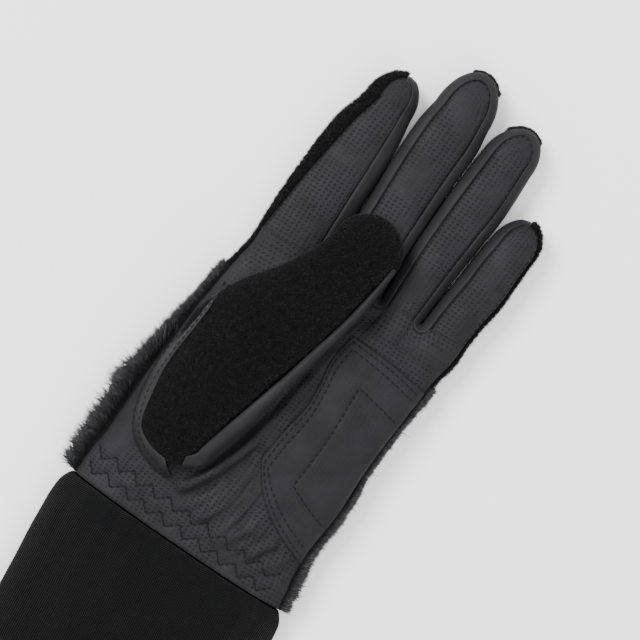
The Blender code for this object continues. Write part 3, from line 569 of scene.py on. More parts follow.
def fur_backing_point(column, row):
    level = math.sin(math.pi / 2 * (2 * column / FUR_COLUMNS - 1))
    y = row / PALM_ROWS * PALM_LENGTH
    left, right = palm_edges(y)[:2]
    x = between(left, right, (level + 1) / 2)
    return Vector((x, y + seam_slant((level + 1) / 2, y), back_height(x, y)))


def thumb_values(along):
    names = ("left", "seam", "right", "low", "high", "rise")
    return {name: read(THUMB_STATIONS, "along", name, along) for name in names}


def thumb_support(x, y):
    """The height of what the thumb lies on: the palm, then the fingers beyond the knuckles."""
    knuckle = ease((y - PALM_LENGTH + KNUCKLE_BLEND) / KNUCKLE_BLEND)
    return between(palm_height(x, min(y, PALM_LENGTH)), FINGER_DEPTH, knuckle)


THUMB_BODY_SHARE = 1 - THUMB_TIP_SHARE - THUMB_HEEL_SHARE


def thumb_point(u, v, top):
    """A point of the thumb's outer surface: u from edge to edge, v from -1 at its lower end through
    0 to 1 along its body and 2 at its tip, on its upper or its under side."""
    along = THUMB_HEEL_SHARE + THUMB_BODY_SHARE * min(max(v, 0.0), 1.0)
    value = thumb_values(along)
    left, right = value["left"] * THUMB_WIDTH, value["right"] * THUMB_WIDTH
    middle, half = THUMB_AXIS + (left + right) / 2, (right - left) / 2
    level, x, y = abs(u), middle + half * u, THUMB_START + THUMB_LENGTH * along
    if not 0 <= v <= 1:
        t = v - 1 if v > 1 else -v
        end = (THUMB_TIP_SHARE if v > 1 else THUMB_HEEL_SHARE) * THUMB_LENGTH
        level = max(abs(u), t)
        turn = math.pi / 4 * (t / abs(u) if abs(u) >= t else 2 - abs(u) / t)
        x = middle + math.copysign(half * level * math.cos(turn), u)
        y += math.copysign(end * level * math.sin(turn), v)
    edge = between(value["low"], value["high"], (u + 1) / 2) * THUMB_DEPTH
    lies_on = thumb_support(x, y) + THUMB_LIFT
    if top:
        return Vector((x, y, lies_on + edge + value["rise"] * THUMB_DEPTH * crown(level)))
    return Vector((x, y, lies_on + max(0.0, edge - (edge + PRESSED_FLAT) * crown(level))))


def thumb_rows():
    """Places along the thumb: its round lower end, its body and its round tip, as (body, end) pairs."""
    heel = [(0.0, -1 + j / THUMB_ROUND) for j in range(THUMB_ROUND)]
    body = [(j / THUMB_ROWS, 0.0) for j in range(THUMB_ROWS + 1)]
    return heel + body + [(1.0, j / THUMB_ROUND) for j in range(1, THUMB_ROUND + 1)]


def thumb_seam_level(v):
    """Where the fleece ends on the roll's side, as a share of the thumb's half width."""
    value = thumb_values(THUMB_HEEL_SHARE + THUMB_BODY_SHARE * v)
    middle, half = (value["left"] + value["right"]) / 2, (value["right"] - value["left"]) / 2
    return (value["seam"] - middle) / half


def patch_point(across, along):
    """A point of the palm under the heel patch: across from its inner to its outer edge."""
    inner = read(PATCH_INNER_EDGE, "along", "across", along) * PATCH_WIDTH
    lower = read(PATCH_LOWER_EDGE, "across", "along", across) * PATCH_LENGTH
    upper = PATCH_LENGTH * (1 - PATCH_OUTER_DROP * across**2)
    y = PATCH_CORNER[1] * PALM_LENGTH + between(lower, upper, along)
    left, right = palm_edges(y)[:2]
    side = (left + right) / 2 + (right - left) / 2 * PATCH_SIDE
    x = between(PATCH_CORNER[0] * PALM_WIDTH + inner, side, across)
    return Vector((x, y, palm_height(x, y)))


def cuff_point(turn, along):
    """A point of the cuff's outer surface, turning from the little finger's side over the palm's."""
    width = read(CUFF_STATIONS, "along", "width", along) * CUFF_WIDTH
    depth = read(CUFF_STATIONS, "along", "depth", along) * CUFF_DEPTH
    level = math.cos(turn)
    seam = PALM_STATIONS[0].seam * PALM_DEPTH
    y = -SEAM_GAP - CUFF_LENGTH * along + seam_slant((level + 1) / 2, 0.0) * (1 - along) ** 2
    full = palm_crown(level)
    if math.sin(turn) < -1e-9:
        return Vector((width / 2 * level, y, max(0.0, seam - (seam + PRESSED_FLAT) * full)))
    return Vector((width / 2 * level, y, seam + (depth - seam) * full))


# Shaping


def smooth(low, high, value):
    return ease((value - low) / (high - low))


def lay_sheet(bm, columns, rows, place, panel_of, start=(0.0, 0.0)):
    """A grid whose vertices are placed by their column and row. Its faces are given panels, and its
    vertices their place on the cloth: across from the middle column and along it, in millimetres."""
    verts = bmesh.ops.create_grid(bm, x_segments=columns, y_segments=rows, size=1)["verts"]
    panel = bm.faces.layers.int["panel"]
    cloth = bm.verts.layers.float_vector["cloth"]
    wide = columns + 1
    for number, vert in enumerate(verts):
        row, column = divmod(number, wide)
        vert.co = place(column, row)
    along = start[1]
    for row in range(rows + 1):
        line = verts[row * wide:(row + 1) * wide]
        middle = columns // 2
        if row:
            along += 1000 * (line[middle].co - verts[(row - 1) * wide + middle].co).length
        for step in (1, -1):
            across = start[0]
            line[middle][cloth] = (across, along, 0)
            column = middle + step
            while 0 <= column <= columns:
                across += 1000 * step * (line[column].co - line[column - step].co).length
                line[column][cloth] = (across, along, 0)
                column += step
    for number, vert in enumerate(verts):
        row, column = divmod(number, wide)
        if row and column:
            corner = {verts[number - wide - 1], verts[number - 1], verts[number - wide]}
            for face in vert.link_faces:
                if corner <= set(face.verts):
                    face[panel] = panel_of(column - 1, row - 1)


def new_form():
    bm = bmesh.new()
    bm.faces.layers.int.new("panel")
    bm.verts.layers.float_vector.new("cloth")
    return bm


def weld_form(bm):
    """Joins a form's sheets into one surface that faces outwards."""
    bmesh.ops.remove_doubles(bm, verts=bm.verts[:], dist=1e-6)
    bmesh.ops.recalc_face_normals(bm, faces=bm.faces[:])
    bm.normal_update()
    lowest = min(bm.faces, key=lambda face: face.calc_center_median().z)
    if lowest.normal.z > 0:
        bmesh.ops.reverse_faces(bm, faces=bm.faces[:])
        bm.normal_update()


def take_panel(form, numbers):
    """A copy of some panels of a form, drawn back from their seams by half the gap."""
    bm = form.copy()
    panel = bm.faces.layers.int["panel"]
    others = [face for face in bm.faces if face[panel] not in numbers]
    bmesh.ops.delete(bm, geom=others, context="FACES")
    bm.normal_update()
    moves = {}
    for edge in bm.edges:
        if not edge.is_boundary:
            continue
        face = edge.link_faces[0]
        inwards = face.normal.cross(edge.verts[1].co - edge.verts[0].co).normalized()
        if inwards.dot(face.calc_center_median() - edge.verts[0].co) < 0:
            inwards = -inwards
        for vert in edge.verts:
            moves.setdefault(vert, []).append(inwards)
    for vert, ways in moves.items():
        vert.co += sum(ways, Vector()).normalized() * SEAM_GAP / 2
    return bm


def edge_distance(bm):
    """For each vertex of an open surface, how far it lies from the surface's edge."""
    rim = [vert for vert in bm.verts if vert.is_boundary]
    tree = KDTree(len(rim))
    for number, vert in enumerate(rim):
        tree.insert(vert.co, number)
    tree.balance()
    return {vert: tree.find(vert.co)[2] for vert in bm.verts}


def dress(bm, relief):
    """Moves each vertex of an open surface along its normal by relief(place, distance from the edge)."""
    bm.normal_update()
    away = edge_distance(bm)
    shifts = {vert: vert.normal * relief(vert.co, away[vert]) for vert in bm.verts}
    for vert, shift in shifts.items():
        vert.co += shift


def grow_wall(bm, wall):
    """Gives an open surface a wall that grows inwards."""
    bm.normal_update()
    ways = {tuple(vert.co): vert.normal.copy() for vert in bm.verts}
    made = bmesh.ops.extrude_face_region(bm, geom=bm.faces[:], use_keep_orig=True)["geom"]
    for item in made:
        if isinstance(item, bmesh.types.BMVert):
            item.co -= ways[tuple(item.co)] * wall
    bmesh.ops.recalc_face_normals(bm, faces=bm.faces[:])


def surface_of(bm):
    """A copy of a surface that places can be looked up on."""
    return BVHTree.FromBMesh(bm)


def finish_piece(name, bm, material, nodes=(), slot=None, attributes=None, smooth_all=True):
    """Makes a bmesh a piece of the glove: in the part's own place, on the floor or over it, with its
    material, riding on the glove's one body and standing for the nodes that it replaces."""
    for vert in bm.verts:
        vert.co.y -= ORIGIN_FROM_SEAM
        vert.co.z = max(vert.co.z, 0.0)
    mesh = bpy.data.meshes.new(name)
    bm.to_mesh(mesh)
    bm.free()
    for key, values in (attributes or {}).items():
        mesh.attributes.new(key, "FLOAT", "POINT").data.foreach_set("value", values)
    if smooth_all:
        mesh.shade_smooth()
    mesh.materials.append(material)
    piece = bpy.data.objects.new(name, mesh)
    bpy.context.scene.collection.objects.link(piece)
    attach(piece, "root")
    if nodes:
        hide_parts(*nodes)
    slot or material.name
    return piece


def repeat(bm, count):
    """Copies what bm holds until there are count of it, one after the other, and gives the number of
    vertices in each. Every copy's vertices hold the first one's places, though in another order."""
    mesh = bpy.data.meshes.new("one")
    bm.to_mesh(mesh)
    bm.clear()
    bm.from_mesh(mesh)
    bpy.data.meshes.remove(mesh)
    one = len(bm.verts)
    while len(bm.verts) < one * count:
        bmesh.ops.duplicate(bm, geom=bm.verts[:] + bm.edges[:] + bm.faces[:])
    bmesh.ops.delete(bm, geom=bm.verts[one * count:], context="VERTS")
    bm.verts.ensure_lookup_table()
    return one


# Materials


class Value:
    """A node's output, or a number, on which + - * / write Math nodes."""

    def __init__(self, finish, socket):
        self.finish, self.socket = finish, socket

    def math(self, operation, *others):
        return self.finish.node("ShaderNodeMath", {"operation": operation}, self, *others)

    def __add__(self, other):
        return self.math("ADD", other)

    def __sub__(self, other):
        return self.math("SUBTRACT", other)

    def __mul__(self, other):
        return self.math("MULTIPLY", other)

    def __truediv__(self, other):
        return self.math("DIVIDE", other)

    def __rsub__(self, other):
        return self.finish.node("ShaderNodeMath", {"operation": "SUBTRACT"}, other, self)

    __radd__ = __add__
    __rmul__ = __mul__


class Finish:
    """A material that is built up by node(), around one Principled shader."""

    def __init__(self, name, roughness, **fixed):
        self.material = bpy.data.materials.new(name)
        self.material.use_nodes = True
        self.tree = self.material.node_tree
        self.shader = self.tree.nodes["Principled BSDF"]
        self.shader.inputs["Roughness"].default_value = roughness
        for socket, value in fixed.items():
            self.shader.inputs[socket.replace("_", " ")].default_value = value

    def node(self, kind, settings=None, *values, output=0, **named):
        """One node: its settings, then the values or links of its sockets in order or by name."""
        made = self.tree.nodes.new(kind)
        for key, value in (settings or {}).items():
            setattr(made, key, value)
        sockets = list(enumerate(values)) + [(key.replace("_", " "), v) for key, v in named.items()]
        for key, value in sockets:
            if isinstance(value, Value):
                self.tree.links.new(value.socket, made.inputs[key])
            else:
                made.inputs[key].default_value = value
        return Value(self, made.outputs[output])

    def noise(self, place, scale, detail=2.0, roughness=0.5):
        return self.node("ShaderNodeTexNoise", None, Vector=place, Scale=scale, Detail=detail,
                         Roughness=roughness)

    def spread(self, value, low, high, to_low=0.0, to_high=1.0):
        """A smooth step from to_low to to_high as the value goes from low to high."""
        return self.node("ShaderNodeMapRange", {"interpolation_type": "SMOOTHSTEP"}, value, low, high,
                         to_low, to_high)

    def mix(self, share, first, second):
        """Between two colours."""
        made = self.tree.nodes.new("ShaderNodeMix")
        made.data_type = "RGBA"
        for key, value in ((0, share), (6, first), (7, second)):
            if isinstance(value, Value):
                self.tree.links.new(value.socket, made.inputs[key])
            else:
                made.inputs[key].default_value = value if key == 0 else (*value, 1)
        return Value(self, made.outputs[2])

    def parts(self, vector):
        split = self.node("ShaderNodeSeparateXYZ", None, vector).socket.node
        return [Value(self, split.outputs[i]) for i in range(3)]

    def place(self):
        """The place on the object, in millimetres."""
        found = self.node("ShaderNodeTexCoord", output=3)
        return self.node("ShaderNodeVectorMath", {"operation": "SCALE"}, found, Scale=1000.0)

    def cloth(self):
        """The place on the cloth before it was sewn, in millimetres."""
        return self.node("ShaderNodeAttribute", {"attribute_name": "cloth"}, output=1)

    def strand(self, name):
        return self.node("ShaderNodeAttribute", {"attribute_name": name}, output=2)

    def paint(self, colour):
        self.tree.links.new(colour.socket, self.shader.inputs["Base Color"])

    def set_roughness(self, value):
        self.tree.links.new(value.socket, self.shader.inputs["Roughness"])

    def bump(self, height, distance, strength=1.0):
        """Height is from 0 to 1, and distance in metres."""
        made = self.node("ShaderNodeBump", None, strength, distance, Height=height)
        self.tree.links.new(made.socket, self.shader.inputs["Normal"])


def make_leather(name, colour, roughness, pits):
    """Soft matt leather with a fine grain. pits is how clearly rows of pressed dimples show on it, both in
    its bump and in the shade painted into them.
    """
    finish = Finish(name, roughness, Specular_IOR_Level=LEATHER_SHINE)
    place, cloth = finish.place(), finish.cloth()
    grain = finish.noise(place, 1.9, 3.0, 0.6)
    cloudy = finish.noise(place, 0.09, 3.0, 0.55)
    across, along, _ = finish.parts(cloth)
    shake = finish.noise(place, 0.35, 1.0) - 0.5
    aside = ((across + shake * 0.8) / DIMPLE_STEP).math("FRACT") - 0.5
    ahead = ((along + shake * 0.6) / DIMPLE_ROW).math("FRACT") - 0.5
    aside, ahead = aside * (DIMPLE_STEP / DIMPLE_LONG), ahead * (DIMPLE_ROW / DIMPLE_WIDE)
    away = (aside * aside + ahead * ahead).math("SQRT")
    patchy = finish.spread(finish.noise(place, 0.07, 2.0), 0.34, 0.56, 0.25, 1.0)
    left, up, _ = finish.parts(place)
    beside_thumb = (1 - finish.spread(left, -34.0, -28.0)) * (1 - finish.spread(up, 25.0, 45.0))
    beside_thumb = beside_thumb * finish.spread(up, -26.0, -18.0)
    dimple = finish.spread(away, 0.55, 1.25, 1.0, 0.0) * patchy * pits * (1 - beside_thumb * 0.9)
    dark, pale = [tuple(c * k for c in colour) for k in (0.45, 1.18)]
    worn = finish.mix(finish.spread(cloudy, 0.3, 0.7), tuple(c * 0.88 for c in colour), pale)
    # The dimples are painted towards the dark colour: painted shade in the pits. The grain's darker flecks
    # are the leather's own colour.
    finish.paint(finish.mix(dimple * 0.75 + (1 - finish.spread(grain, 0.3, 0.5)) * 0.2, worn, dark))
    finish.set_roughness(finish.spread(cloudy, 0.25, 0.75, roughness + 0.05, roughness - 0.04)
                         + grain * 0.06)
    finish.bump(0.62 + grain * 0.16 + cloudy * 0.1 - dimple * 0.5, 0.0005, 0.8)
    return finish.material


def make_pile_cloth(name, colour, roughness, speck):
    """The ground of a fleece or fur, with a felted bump."""
    finish = Finish(name, roughness, Specular_IOR_Level=0.05, Sheen_Weight=0.03, Sheen_Roughness=0.6)
    place = finish.place()
    felt = finish.noise(place, 2.4, 4.0, 0.7)
    tufts = finish.noise(place, 0.45, 2.0)
    pale = tuple(c * speck for c in colour)
    finish.paint(finish.mix(finish.spread(felt, 0.45, 0.8) * 0.7 + tufts * 0.2, colour, pale))
    finish.bump(felt * 0.7 + tufts * 0.3, 0.0008, 0.8)
    return finish.material


def make_strand_finish(name, root, tip, roughness, gleam):
    """Pile strands that pale from root to tip, each with its own shade."""
    finish = Finish(name, roughness, Specular_IOR_Level=gleam)
    along, shade = finish.strand("along"), finish.strand("shade")
    colour = finish.mix(finish.spread(along, 0.15, 1.0) * (0.12 + shade * 0.88), root, tip)
    finish.paint(colour)
    return finish.material


def make_knit_finish():
    """Black fine-ribbed knit: ribs along the hand with small loops in them."""
    finish = Finish("knit", 0.95, Specular_IOR_Level=0.06, Sheen_Weight=0.03, Sheen_Roughness=0.5)
    across, along, _ = finish.parts(finish.cloth())
    wander = finish.noise(finish.place(), 0.3, 2.0) * 0.5
    rib = ((across / KNIT_RIB + wander) * (2 * math.pi)).math("COSINE") * 0.5 + 0.5
    loop = ((along / KNIT_LOOP + rib * 0.4) * (2 * math.pi)).math("SINE") * 0.5 + 0.5
    fuzz = finish.noise(finish.place(), 3.0, 3.0, 0.7)
    height = rib * 0.65 + rib * loop * 0.25 + fuzz * 0.15
    # The knit is painted darker down between its ribs and loops, following the bump's height: painted
    # shade in the grooves.
    finish.paint(finish.mix(finish.spread(height, 0.2, 0.95), (0.0010, 0.0010, 0.0012),
                            (0.0068, 0.0068, 0.0076)))
    finish.bump(height, 0.0007, 1.0)
    return finish.material


def make_thread_finish():
    finish = Finish("thread", 0.7, Specular_IOR_Level=0.15)
    twist = finish.noise(finish.place(), 6.0, 2.0)
    finish.paint(finish.mix(twist, (0.002, 0.002, 0.0024), (0.006, 0.006, 0.007)))
    finish.bump(twist, 0.0002, 0.6)
    return finish.material


# The hand


PALM, BACKS, FUR, FOURCHETTES = 0, 1, 2, 3


def make_hand_form():
    """The glove's outer surface apart from thumb, patch and cuff, in panels."""
    bm = new_form()
    upper, under = crotch_row(front_point, True), crotch_row(back_point, False)
    seam_row = round(PALM_ROWS * BACK_SEAM)
    rows_up = ALONG_FINGER + ROUND_TIP

    def upper_panel(column, row):
        if BAND_HALF <= column < len(upper) - 1 - BAND_HALF:
            return PALM
        return FUR if row < seam_row else BACKS

    lay_sheet(bm, len(upper) - 1, PALM_ROWS,
              lambda column, row: hand_point(upper, column, row, palm_height), upper_panel)
    lay_sheet(bm, len(under) - 1, PALM_ROWS - seam_row,
              lambda column, row: hand_point(under, column, row + seam_row, back_height),
              lambda column, row: BACKS)
    lay_sheet(bm, FUR_COLUMNS, seam_row, fur_backing_point, lambda column, row: FUR)
    for number, finger in enumerate(FINGERS):
        start = (1000 * BASES[finger.name], 1000 * PALM_LENGTH)
        lay_sheet(bm, ACROSS_FINGER, rows_up, lambda column, row: front_point(finger, column, row),
                  lambda column, row: PALM, start)
        lay_sheet(bm, ACROSS_FINGER, rows_up, lambda column, row: back_point(finger, column, row),
                  lambda column, row: BACKS, start)
        for side in (-1, 1):
            places = edge_places(finger, side)
            neighbour = number + (side - 1) // 2
            inner = 0 <= neighbour < len(FINGERS) - 1
            side_panel = FOURCHETTES + neighbour if inner else BACKS
            lay_sheet(bm, 2 * BAND_HALF, len(places) - 1,
                      lambda column, row: band_point(finger, places[row], column),
                      lambda column, row: side_panel)
        if number + 1 < len(FINGERS):
            crotch = [edge_places(finger, 1)[0], edge_places(FINGERS[number + 1], -1)[0]]

            def crotch_point(column, row):
                first = band_point(finger, crotch[0], column)
                second = band_point(FINGERS[number + 1], crotch[1], column)
                return crotch_turn(first, second, row / ROUND_CROTCH)

            lay_sheet(bm, 2 * BAND_HALF, ROUND_CROTCH, crotch_point,
                      lambda column, row: FOURCHETTES + number)
    weld_form(bm)
    return bm


def wander(x, y, scale, stretch=1.0, seed=0.0):
    """Smooth noise from -1 to 1, with features of this size in metres, stretched along the fingers."""
    return noise.noise(Vector((x / scale, y / (scale * stretch), seed)))


def near_line(x, y, line):
    """The distance from a place to a line of (x, y) points."""
    best = 1000.0
    for (x0, y0), (x1, y1) in zip(line, line[1:]):
        dx, dy = x1 - x0, y1 - y0
        length = max(dx * dx + dy * dy, 1e-12)
        share = min(max(((x - x0) * dx + (y - y0) * dy) / length, 0.0), 1.0)
        best = min(best, math.hypot(x - x0 - dx * share, y - y0 - dy * share))
    return best


def zigzag(row):
    """One row of the elastic's stitches, as (x, y) points across the palm by the cuff."""
    points = []
    low, high = row.low, row.high
    x, up = ZIGZAG_START * PALM_WIDTH, True
    while x < ZIGZAG_END * PALM_WIDTH:
        share = x / PALM_WIDTH + 0.5
        base = (between(low, high, share)) * PALM_LENGTH
        points.append((x, base + (ZIGZAG_RISE if up else 0.0) * PALM_LENGTH))
        x += ZIGZAG_STEPS[0 if up else 1] * PALM_WIDTH
        up = not up
    return points


ZIGZAGS = [zigzag(row) for row in ZIGZAG_ROWS]


def patch_line(inset_across, inset_along, start, end, steps=60):
    """A line on the patch that runs inside its edges: up its inner edge, and along its top and foot."""
    points = []
    for j in range(steps + 1):
        points.append(patch_point(between(start, inset_across, j / steps), 1 - inset_along))
    for j in range(steps + 1):
        points.append(patch_point(inset_across, between(1 - inset_along, inset_along, j / steps)))
    for j in range(steps + 1):
        points.append(patch_point(between(inset_across, end, j / steps), inset_along))
    return points


def seam_depth(x, y):
    """How far a seam sinks here: little along the index finger's right side, whose seam lies folded."""
    right_side = BASES["index"] + 0.002 < x < BASES["index"] + INDEX_WIDTH * 0.56
    folded = smooth(0.0, 0.008, y - PALM_LENGTH) * right_side
    return 1 - 0.7 * folded


def palm_relief(place, away):
    """The palm leather's small forms: the sunk seams, the gathers by the cuff and soft dents."""
    x, y = place.x, place.y
    sink = -SEAM_SINK * math.exp(-((away / SEAM_ROLL) ** 2)) + SEAM_SWELL * math.exp(
        -(((away - 2.2 * SEAM_ROLL) / SEAM_ROLL) ** 2))
    sink *= seam_depth(x, y)
    pucker = 0.00012 * wander(x, y, 0.0016, 1.0, 3.0) * math.exp(-((away / 0.004) ** 2))
    total = sink + pucker
    total += 0.00030 * wander(x, y, 0.013, 1.4, 7.0) + 0.00012 * wander(x, y, 0.0045, 1.5, 9.0)
    for crease in CREASES:
        total += 0.001 * crease.height * math.exp(
            -((near_line(1000 * x, 1000 * y, crease.points) / crease.half_width) ** 2))
    gather = 1 - smooth(0.16, 0.34, y / PALM_LENGTH)
    if gather > 0:
        total += gather * (0.0004 * wander(x, y, 0.0062, 2.8, 1.0)
                           + 0.00025 * wander(x, y, 0.0024, 2.0, 2.0))
        for line in ZIGZAGS:
            total -= 0.0004 * math.exp(-((near_line(x, y, line) / 0.0010) ** 2))
    return total


def strip_relief(place, away):
    """The strips swell a little between their seams, so that the fingers touch."""
    sink = -0.8 * SEAM_SINK * math.exp(-((away / SEAM_ROLL) ** 2)) * seam_depth(place.x, place.y)
    swell = STRIP_SWELL * smooth(0.0018, 0.0036, away)
    return sink + swell + 0.0001 * wander(place.x, place.y, 0.006, 2.0, 5.0)


def cloth_relief(place, away):
    sink = -0.6 * SEAM_SINK * math.exp(-((away / SEAM_ROLL) ** 2))
    return sink + 0.0003 * wander(place.x, place.y, 0.009, 1.0, 6.0)


def open_thumb_hole(bm):
    """Cuts the hole where the hand meets the thumb, and rounds its edge."""
    middle = Vector((THUMB_AXIS + THUMB_HOLE_ACROSS * THUMB_WIDTH,
                     THUMB_START + THUMB_HOLE_ALONG * THUMB_LENGTH))
    turn = Matrix.Rotation(-THUMB_HOLE_TURN, 2)

    def inside(co):
        flat = turn @ (Vector((co.x, co.y)) - middle)
        return math.hypot(flat.x / (THUMB_HOLE_WIDTH / 2), flat.y / (THUMB_HOLE_LENGTH / 2))

    gone = [face for face in bm.faces
            if inside(face.calc_center_median()) < 1 and face.calc_center_median().z > PALM_DEPTH / 2]
    before = {vert for vert in bm.verts if vert.is_boundary}
    bmesh.ops.delete(bm, geom=gone, context="FACES")
    for vert in bm.verts:
        if vert.is_boundary and vert not in before:
            flat = turn @ (Vector((vert.co.x, vert.co.y)) - middle)
            flat = turn.transposed() @ (flat / inside(vert.co)) + middle
            vert.co.x, vert.co.y = flat


def make_hand():
    """The palm, the fourchettes, the fleece backs and the fur's backing, all cut from one form."""
    form = make_hand_form()
    palm = take_panel(form, {PALM})
    dress(palm, palm_relief)
    skin = surface_of(palm)
    open_thumb_hole(palm)
    grow_wall(palm, LEATHER)
    finish_piece("palm_skin", palm, LEATHER_FINISH, ["palm_leather"], "leather")
    strips = take_panel(form, {FOURCHETTES + number for number in range(len(FINGERS) - 1)})
    dress(strips, strip_relief)
    # The pile round the tips wears the paler fleece fibre: painted light on the fleece there.
    sow_pile("tip_pile", strips, 7000, TIP_PILE, TIP_STRAND_PAINTED_LIGHT_FINISH, "fleece", 13, at_tip)
    grow_wall(strips, LEATHER)
    finish_piece("side_strips", strips, PLAIN_LEATHER_FINISH,
                 [f"fourchette_{left.name}_{right.name}" for left, right in zip(FINGERS, FINGERS[1:])],
                 "leather")
    backs = take_panel(form, {BACKS})
    dress(backs, cloth_relief)
    sow_pile("finger_pile", backs, 56000, FINGER_PILE, FLEECE_STRAND_FINISH, "fleece", 11)
    grow_wall(backs, FLEECE)
    finish_piece("finger_fleece", backs, FLEECE_FINISH, ["finger_back_fleece"], "fleece")
    backing = take_panel(form, {FUR})
    make_fur(backing)
    grow_wall(backing, FUR_BACKING)
    finish_piece("fur_backing", backing, FUR_BACKING_FINISH, ["back_fur"], "fur")
    form.free()
    return skin


def scatter(bm, count, rng, weight=lambda face: 1.0):
    """Places spread evenly over a surface, each with the surface's normal there."""
    bm.normal_update()
    faces, totals, total = [], [], 0.0
    for face in bm.faces:
        share = face.calc_area() * weight(face)
        if share > 0:
            total += share
            faces.append(face)
            totals.append(total)
    step, number, places = total / count, 0, []
    for j in range(count):
        goal = (j + rng.random()) * step
        while totals[number] < goal and number < len(totals) - 1:
            number += 1
        verts = [vert.co for vert in faces[number].verts]
        a, b = rng.random(), rng.random()
        if len(verts) == 4:
            near, far = verts[0].lerp(verts[1], a), verts[3].lerp(verts[2], a)
            co = near.lerp(far, b)
        else:
            if a + b > 1:
                a, b = 1 - a, 1 - b
            co = verts[0] + (verts[1] - verts[0]) * a + (verts[2] - verts[0]) * b
        places.append((co, faces[number].normal.copy()))
    return places


Pile = namedtuple("Pile", "length thickness lean scatter")
FINGER_PILE = Pile(0.0015, 0.00023, 0.5, 0.9)
PILE_TUFT = 0.0011  # how far apart its small tufts are
THUMB_PILE = Pile(0.0010, 0.00021, 0.35, 1.0)
TIP_PILE = Pile(0.0011, 0.0002, 0.5, 0.9)


def at_tip(face):
    """Whether the fleece behind the fingers shows past this face of the strips, beside a round tip."""
    co = face.calc_center_median()
    for finger in FINGERS[1:3]:
        middle = BASES[finger.name] + finger.skew * finger.width
        by_end = co.y > PALM_LENGTH + finger.length - TIP_FLEECE_ALONG
        if by_end and -TIP_FLEECE_LEFT < co.x - middle < finger.width / 2 and co.z > 0.002:
            return float(co.z < FINGER_MIDDLE * 1.1)
    return 0.0


def sow_pile(name, ground, count, pile, material, slot, seed, weight=lambda face: 1.0):
    """Short fibres all over a cloth, each a thin three-sided cone."""
    rng = random.Random(seed)
    places = scatter(ground, count, rng, weight)
    bm = bmesh.new()
    bmesh.ops.create_cone(bm, cap_ends=False, segments=3, radius1=1, radius2=0, depth=1)
    one = repeat(bm, count)
    along, shade = [], []
    for number, (root, normal) in enumerate(places):
        tuft = 0.5 + 0.8 * noise.noise(root / PILE_TUFT)
        tint = min(max(tuft + 0.5 * (rng.random() - 0.5), 0.0), 1.0)
        jitter = Vector((rng.gauss(0, 1), rng.gauss(0, 1), rng.gauss(0, 1))) * pile.scatter
        jitter += noise.noise_vector(root / PILE_TUFT) * 0.9
        way = (normal + jitter * 0.5 + Vector((0, pile.lean, 0))).normalized()
        if way.dot(normal) < 0.15:
            way = (way + normal).normalized()
        length = pile.length * (0.5 + 0.4 * rng.random() + 0.6 * tint)
        side = way.orthogonal().normalized() * pile.thickness
        other = way.cross(side)
        for k in range(one):
            vert = bm.verts[number * one + k]
            a, b, c = vert.co
            vert.co = root - normal * 0.0002 + way * (length * (c + 0.5)) + side * a + other * b
            vert.co.z = max(vert.co.z, 0.0001)
            along.append(c + 0.5)
            shade.append(tint)
    finish_piece(name, bm, material, (), slot, {"along": along, "shade": shade}, False)


def make_strand_form(rings):
    """A three-sided tube that closes at its tip, along z from 0 to 1."""
    bm = bmesh.new()
    verts = bmesh.ops.create_grid(bm, x_segments=3, y_segments=rings, size=1)["verts"]
    for number, vert in enumerate(verts):
        ring, column = divmod(number, 4)
        turn = 2 * math.pi * column / 3
        along = ring / rings
        width = 0.0 if ring == rings else 1 - 0.6 * along**2
        vert.co = (width * math.cos(turn), width * math.sin(turn), along)
    bmesh.ops.remove_doubles(bm, verts=bm.verts[:], dist=1e-5)
    bmesh.ops.recalc_face_normals(bm, faces=bm.faces[:])
    return bm


FurArea = namedtuple("FurArea", "name count seed")
FUR_AREAS = (FurArea("fur_thumb_side", 9400, 21), FurArea("fur_little_side", 9500, 22),
             FurArea("fur_under", 9400, 23))
STRAND_RINGS = 4


def fur_reach(x, y):
    """How far the fur stands out past the hand's side here, in metres."""
    share = y / (BACK_SEAM * PALM_LENGTH)
    return FUR_DEPTH * read(FUR_REACH, "along", "little_side" if x > 0 else "thumb_side", share)


def make_fur(ground):
    """The deep fur of the hand back, in three pieces: one for each side, and one pressed flat below."""

    def area_of(face):
        if face.normal.z < -0.8:
            return "fur_under"
        return "fur_little_side" if face.calc_center_median().x > 0 else "fur_thumb_side"

    for area in FUR_AREAS:
        rng = random.Random(area.seed)
        places = scatter(ground, area.count, rng, lambda face: float(area_of(face) == area.name))
        bm = make_strand_form(STRAND_RINGS)
        one = repeat(bm, area.count)
        along, shade = [], []
        for number, (root, normal) in enumerate(places):
            tint = rng.random()
            clump = noise.noise_vector(root / 0.0026) * 0.6 + noise.noise_vector(root / 0.009) * 0.5
            jitter = Vector((rng.gauss(0, 1), rng.gauss(0, 1), rng.gauss(0, 1))) * 0.22
            under = area.name == "fur_under"
            if under:
                way = Vector((0.25 * (1 if root.x > 0 else -1) * abs(root.x) / 0.04, 0.75, -0.55))
                length = between(0.0060, 0.0095, rng.random())
                droop = -0.2
            else:
                reach = fur_reach(root.x, root.y)
                out = Vector((math.copysign(1, root.x), 0, 0))
                way = normal * 0.6 + out * 0.6 + Vector((0, 0.35, -0.1))
                hidden = between(0.0010, 0.0022, smooth(0.0, -0.02, root.x))
                length = (reach + hidden) * between(0.6, 1.2, rng.random())
                droop = -0.35
            way = (way + clump * 0.75 + jitter).normalized()
            bend = (Vector((clump.y, clump.x, droop)) + jitter) * length * 0.45
            thickness = 0.00018 * between(0.7, 1.3, tint)
            side = way.orthogonal().normalized() * thickness
            other = way.cross(side).normalized() * thickness
            for k in range(one):
                vert = bm.verts[number * one + k]
                a, b, c = vert.co
                vert.co = root - normal * 0.0003 + way * (length * c) + bend * (c * c)
                vert.co += side * a + other * b
                vert.co.z = max(vert.co.z, 0.0002 + 0.0006 * tint)
                along.append(c)
                shade.append(tint)
        finish_piece(area.name, bm, FUR_STRAND_FINISH, (), "fur",
                     {"along": along, "shade": shade}, False)


# Thumb, patch and cuff


THUMB_FLEECE, THUMB_LEATHER = 0, 1


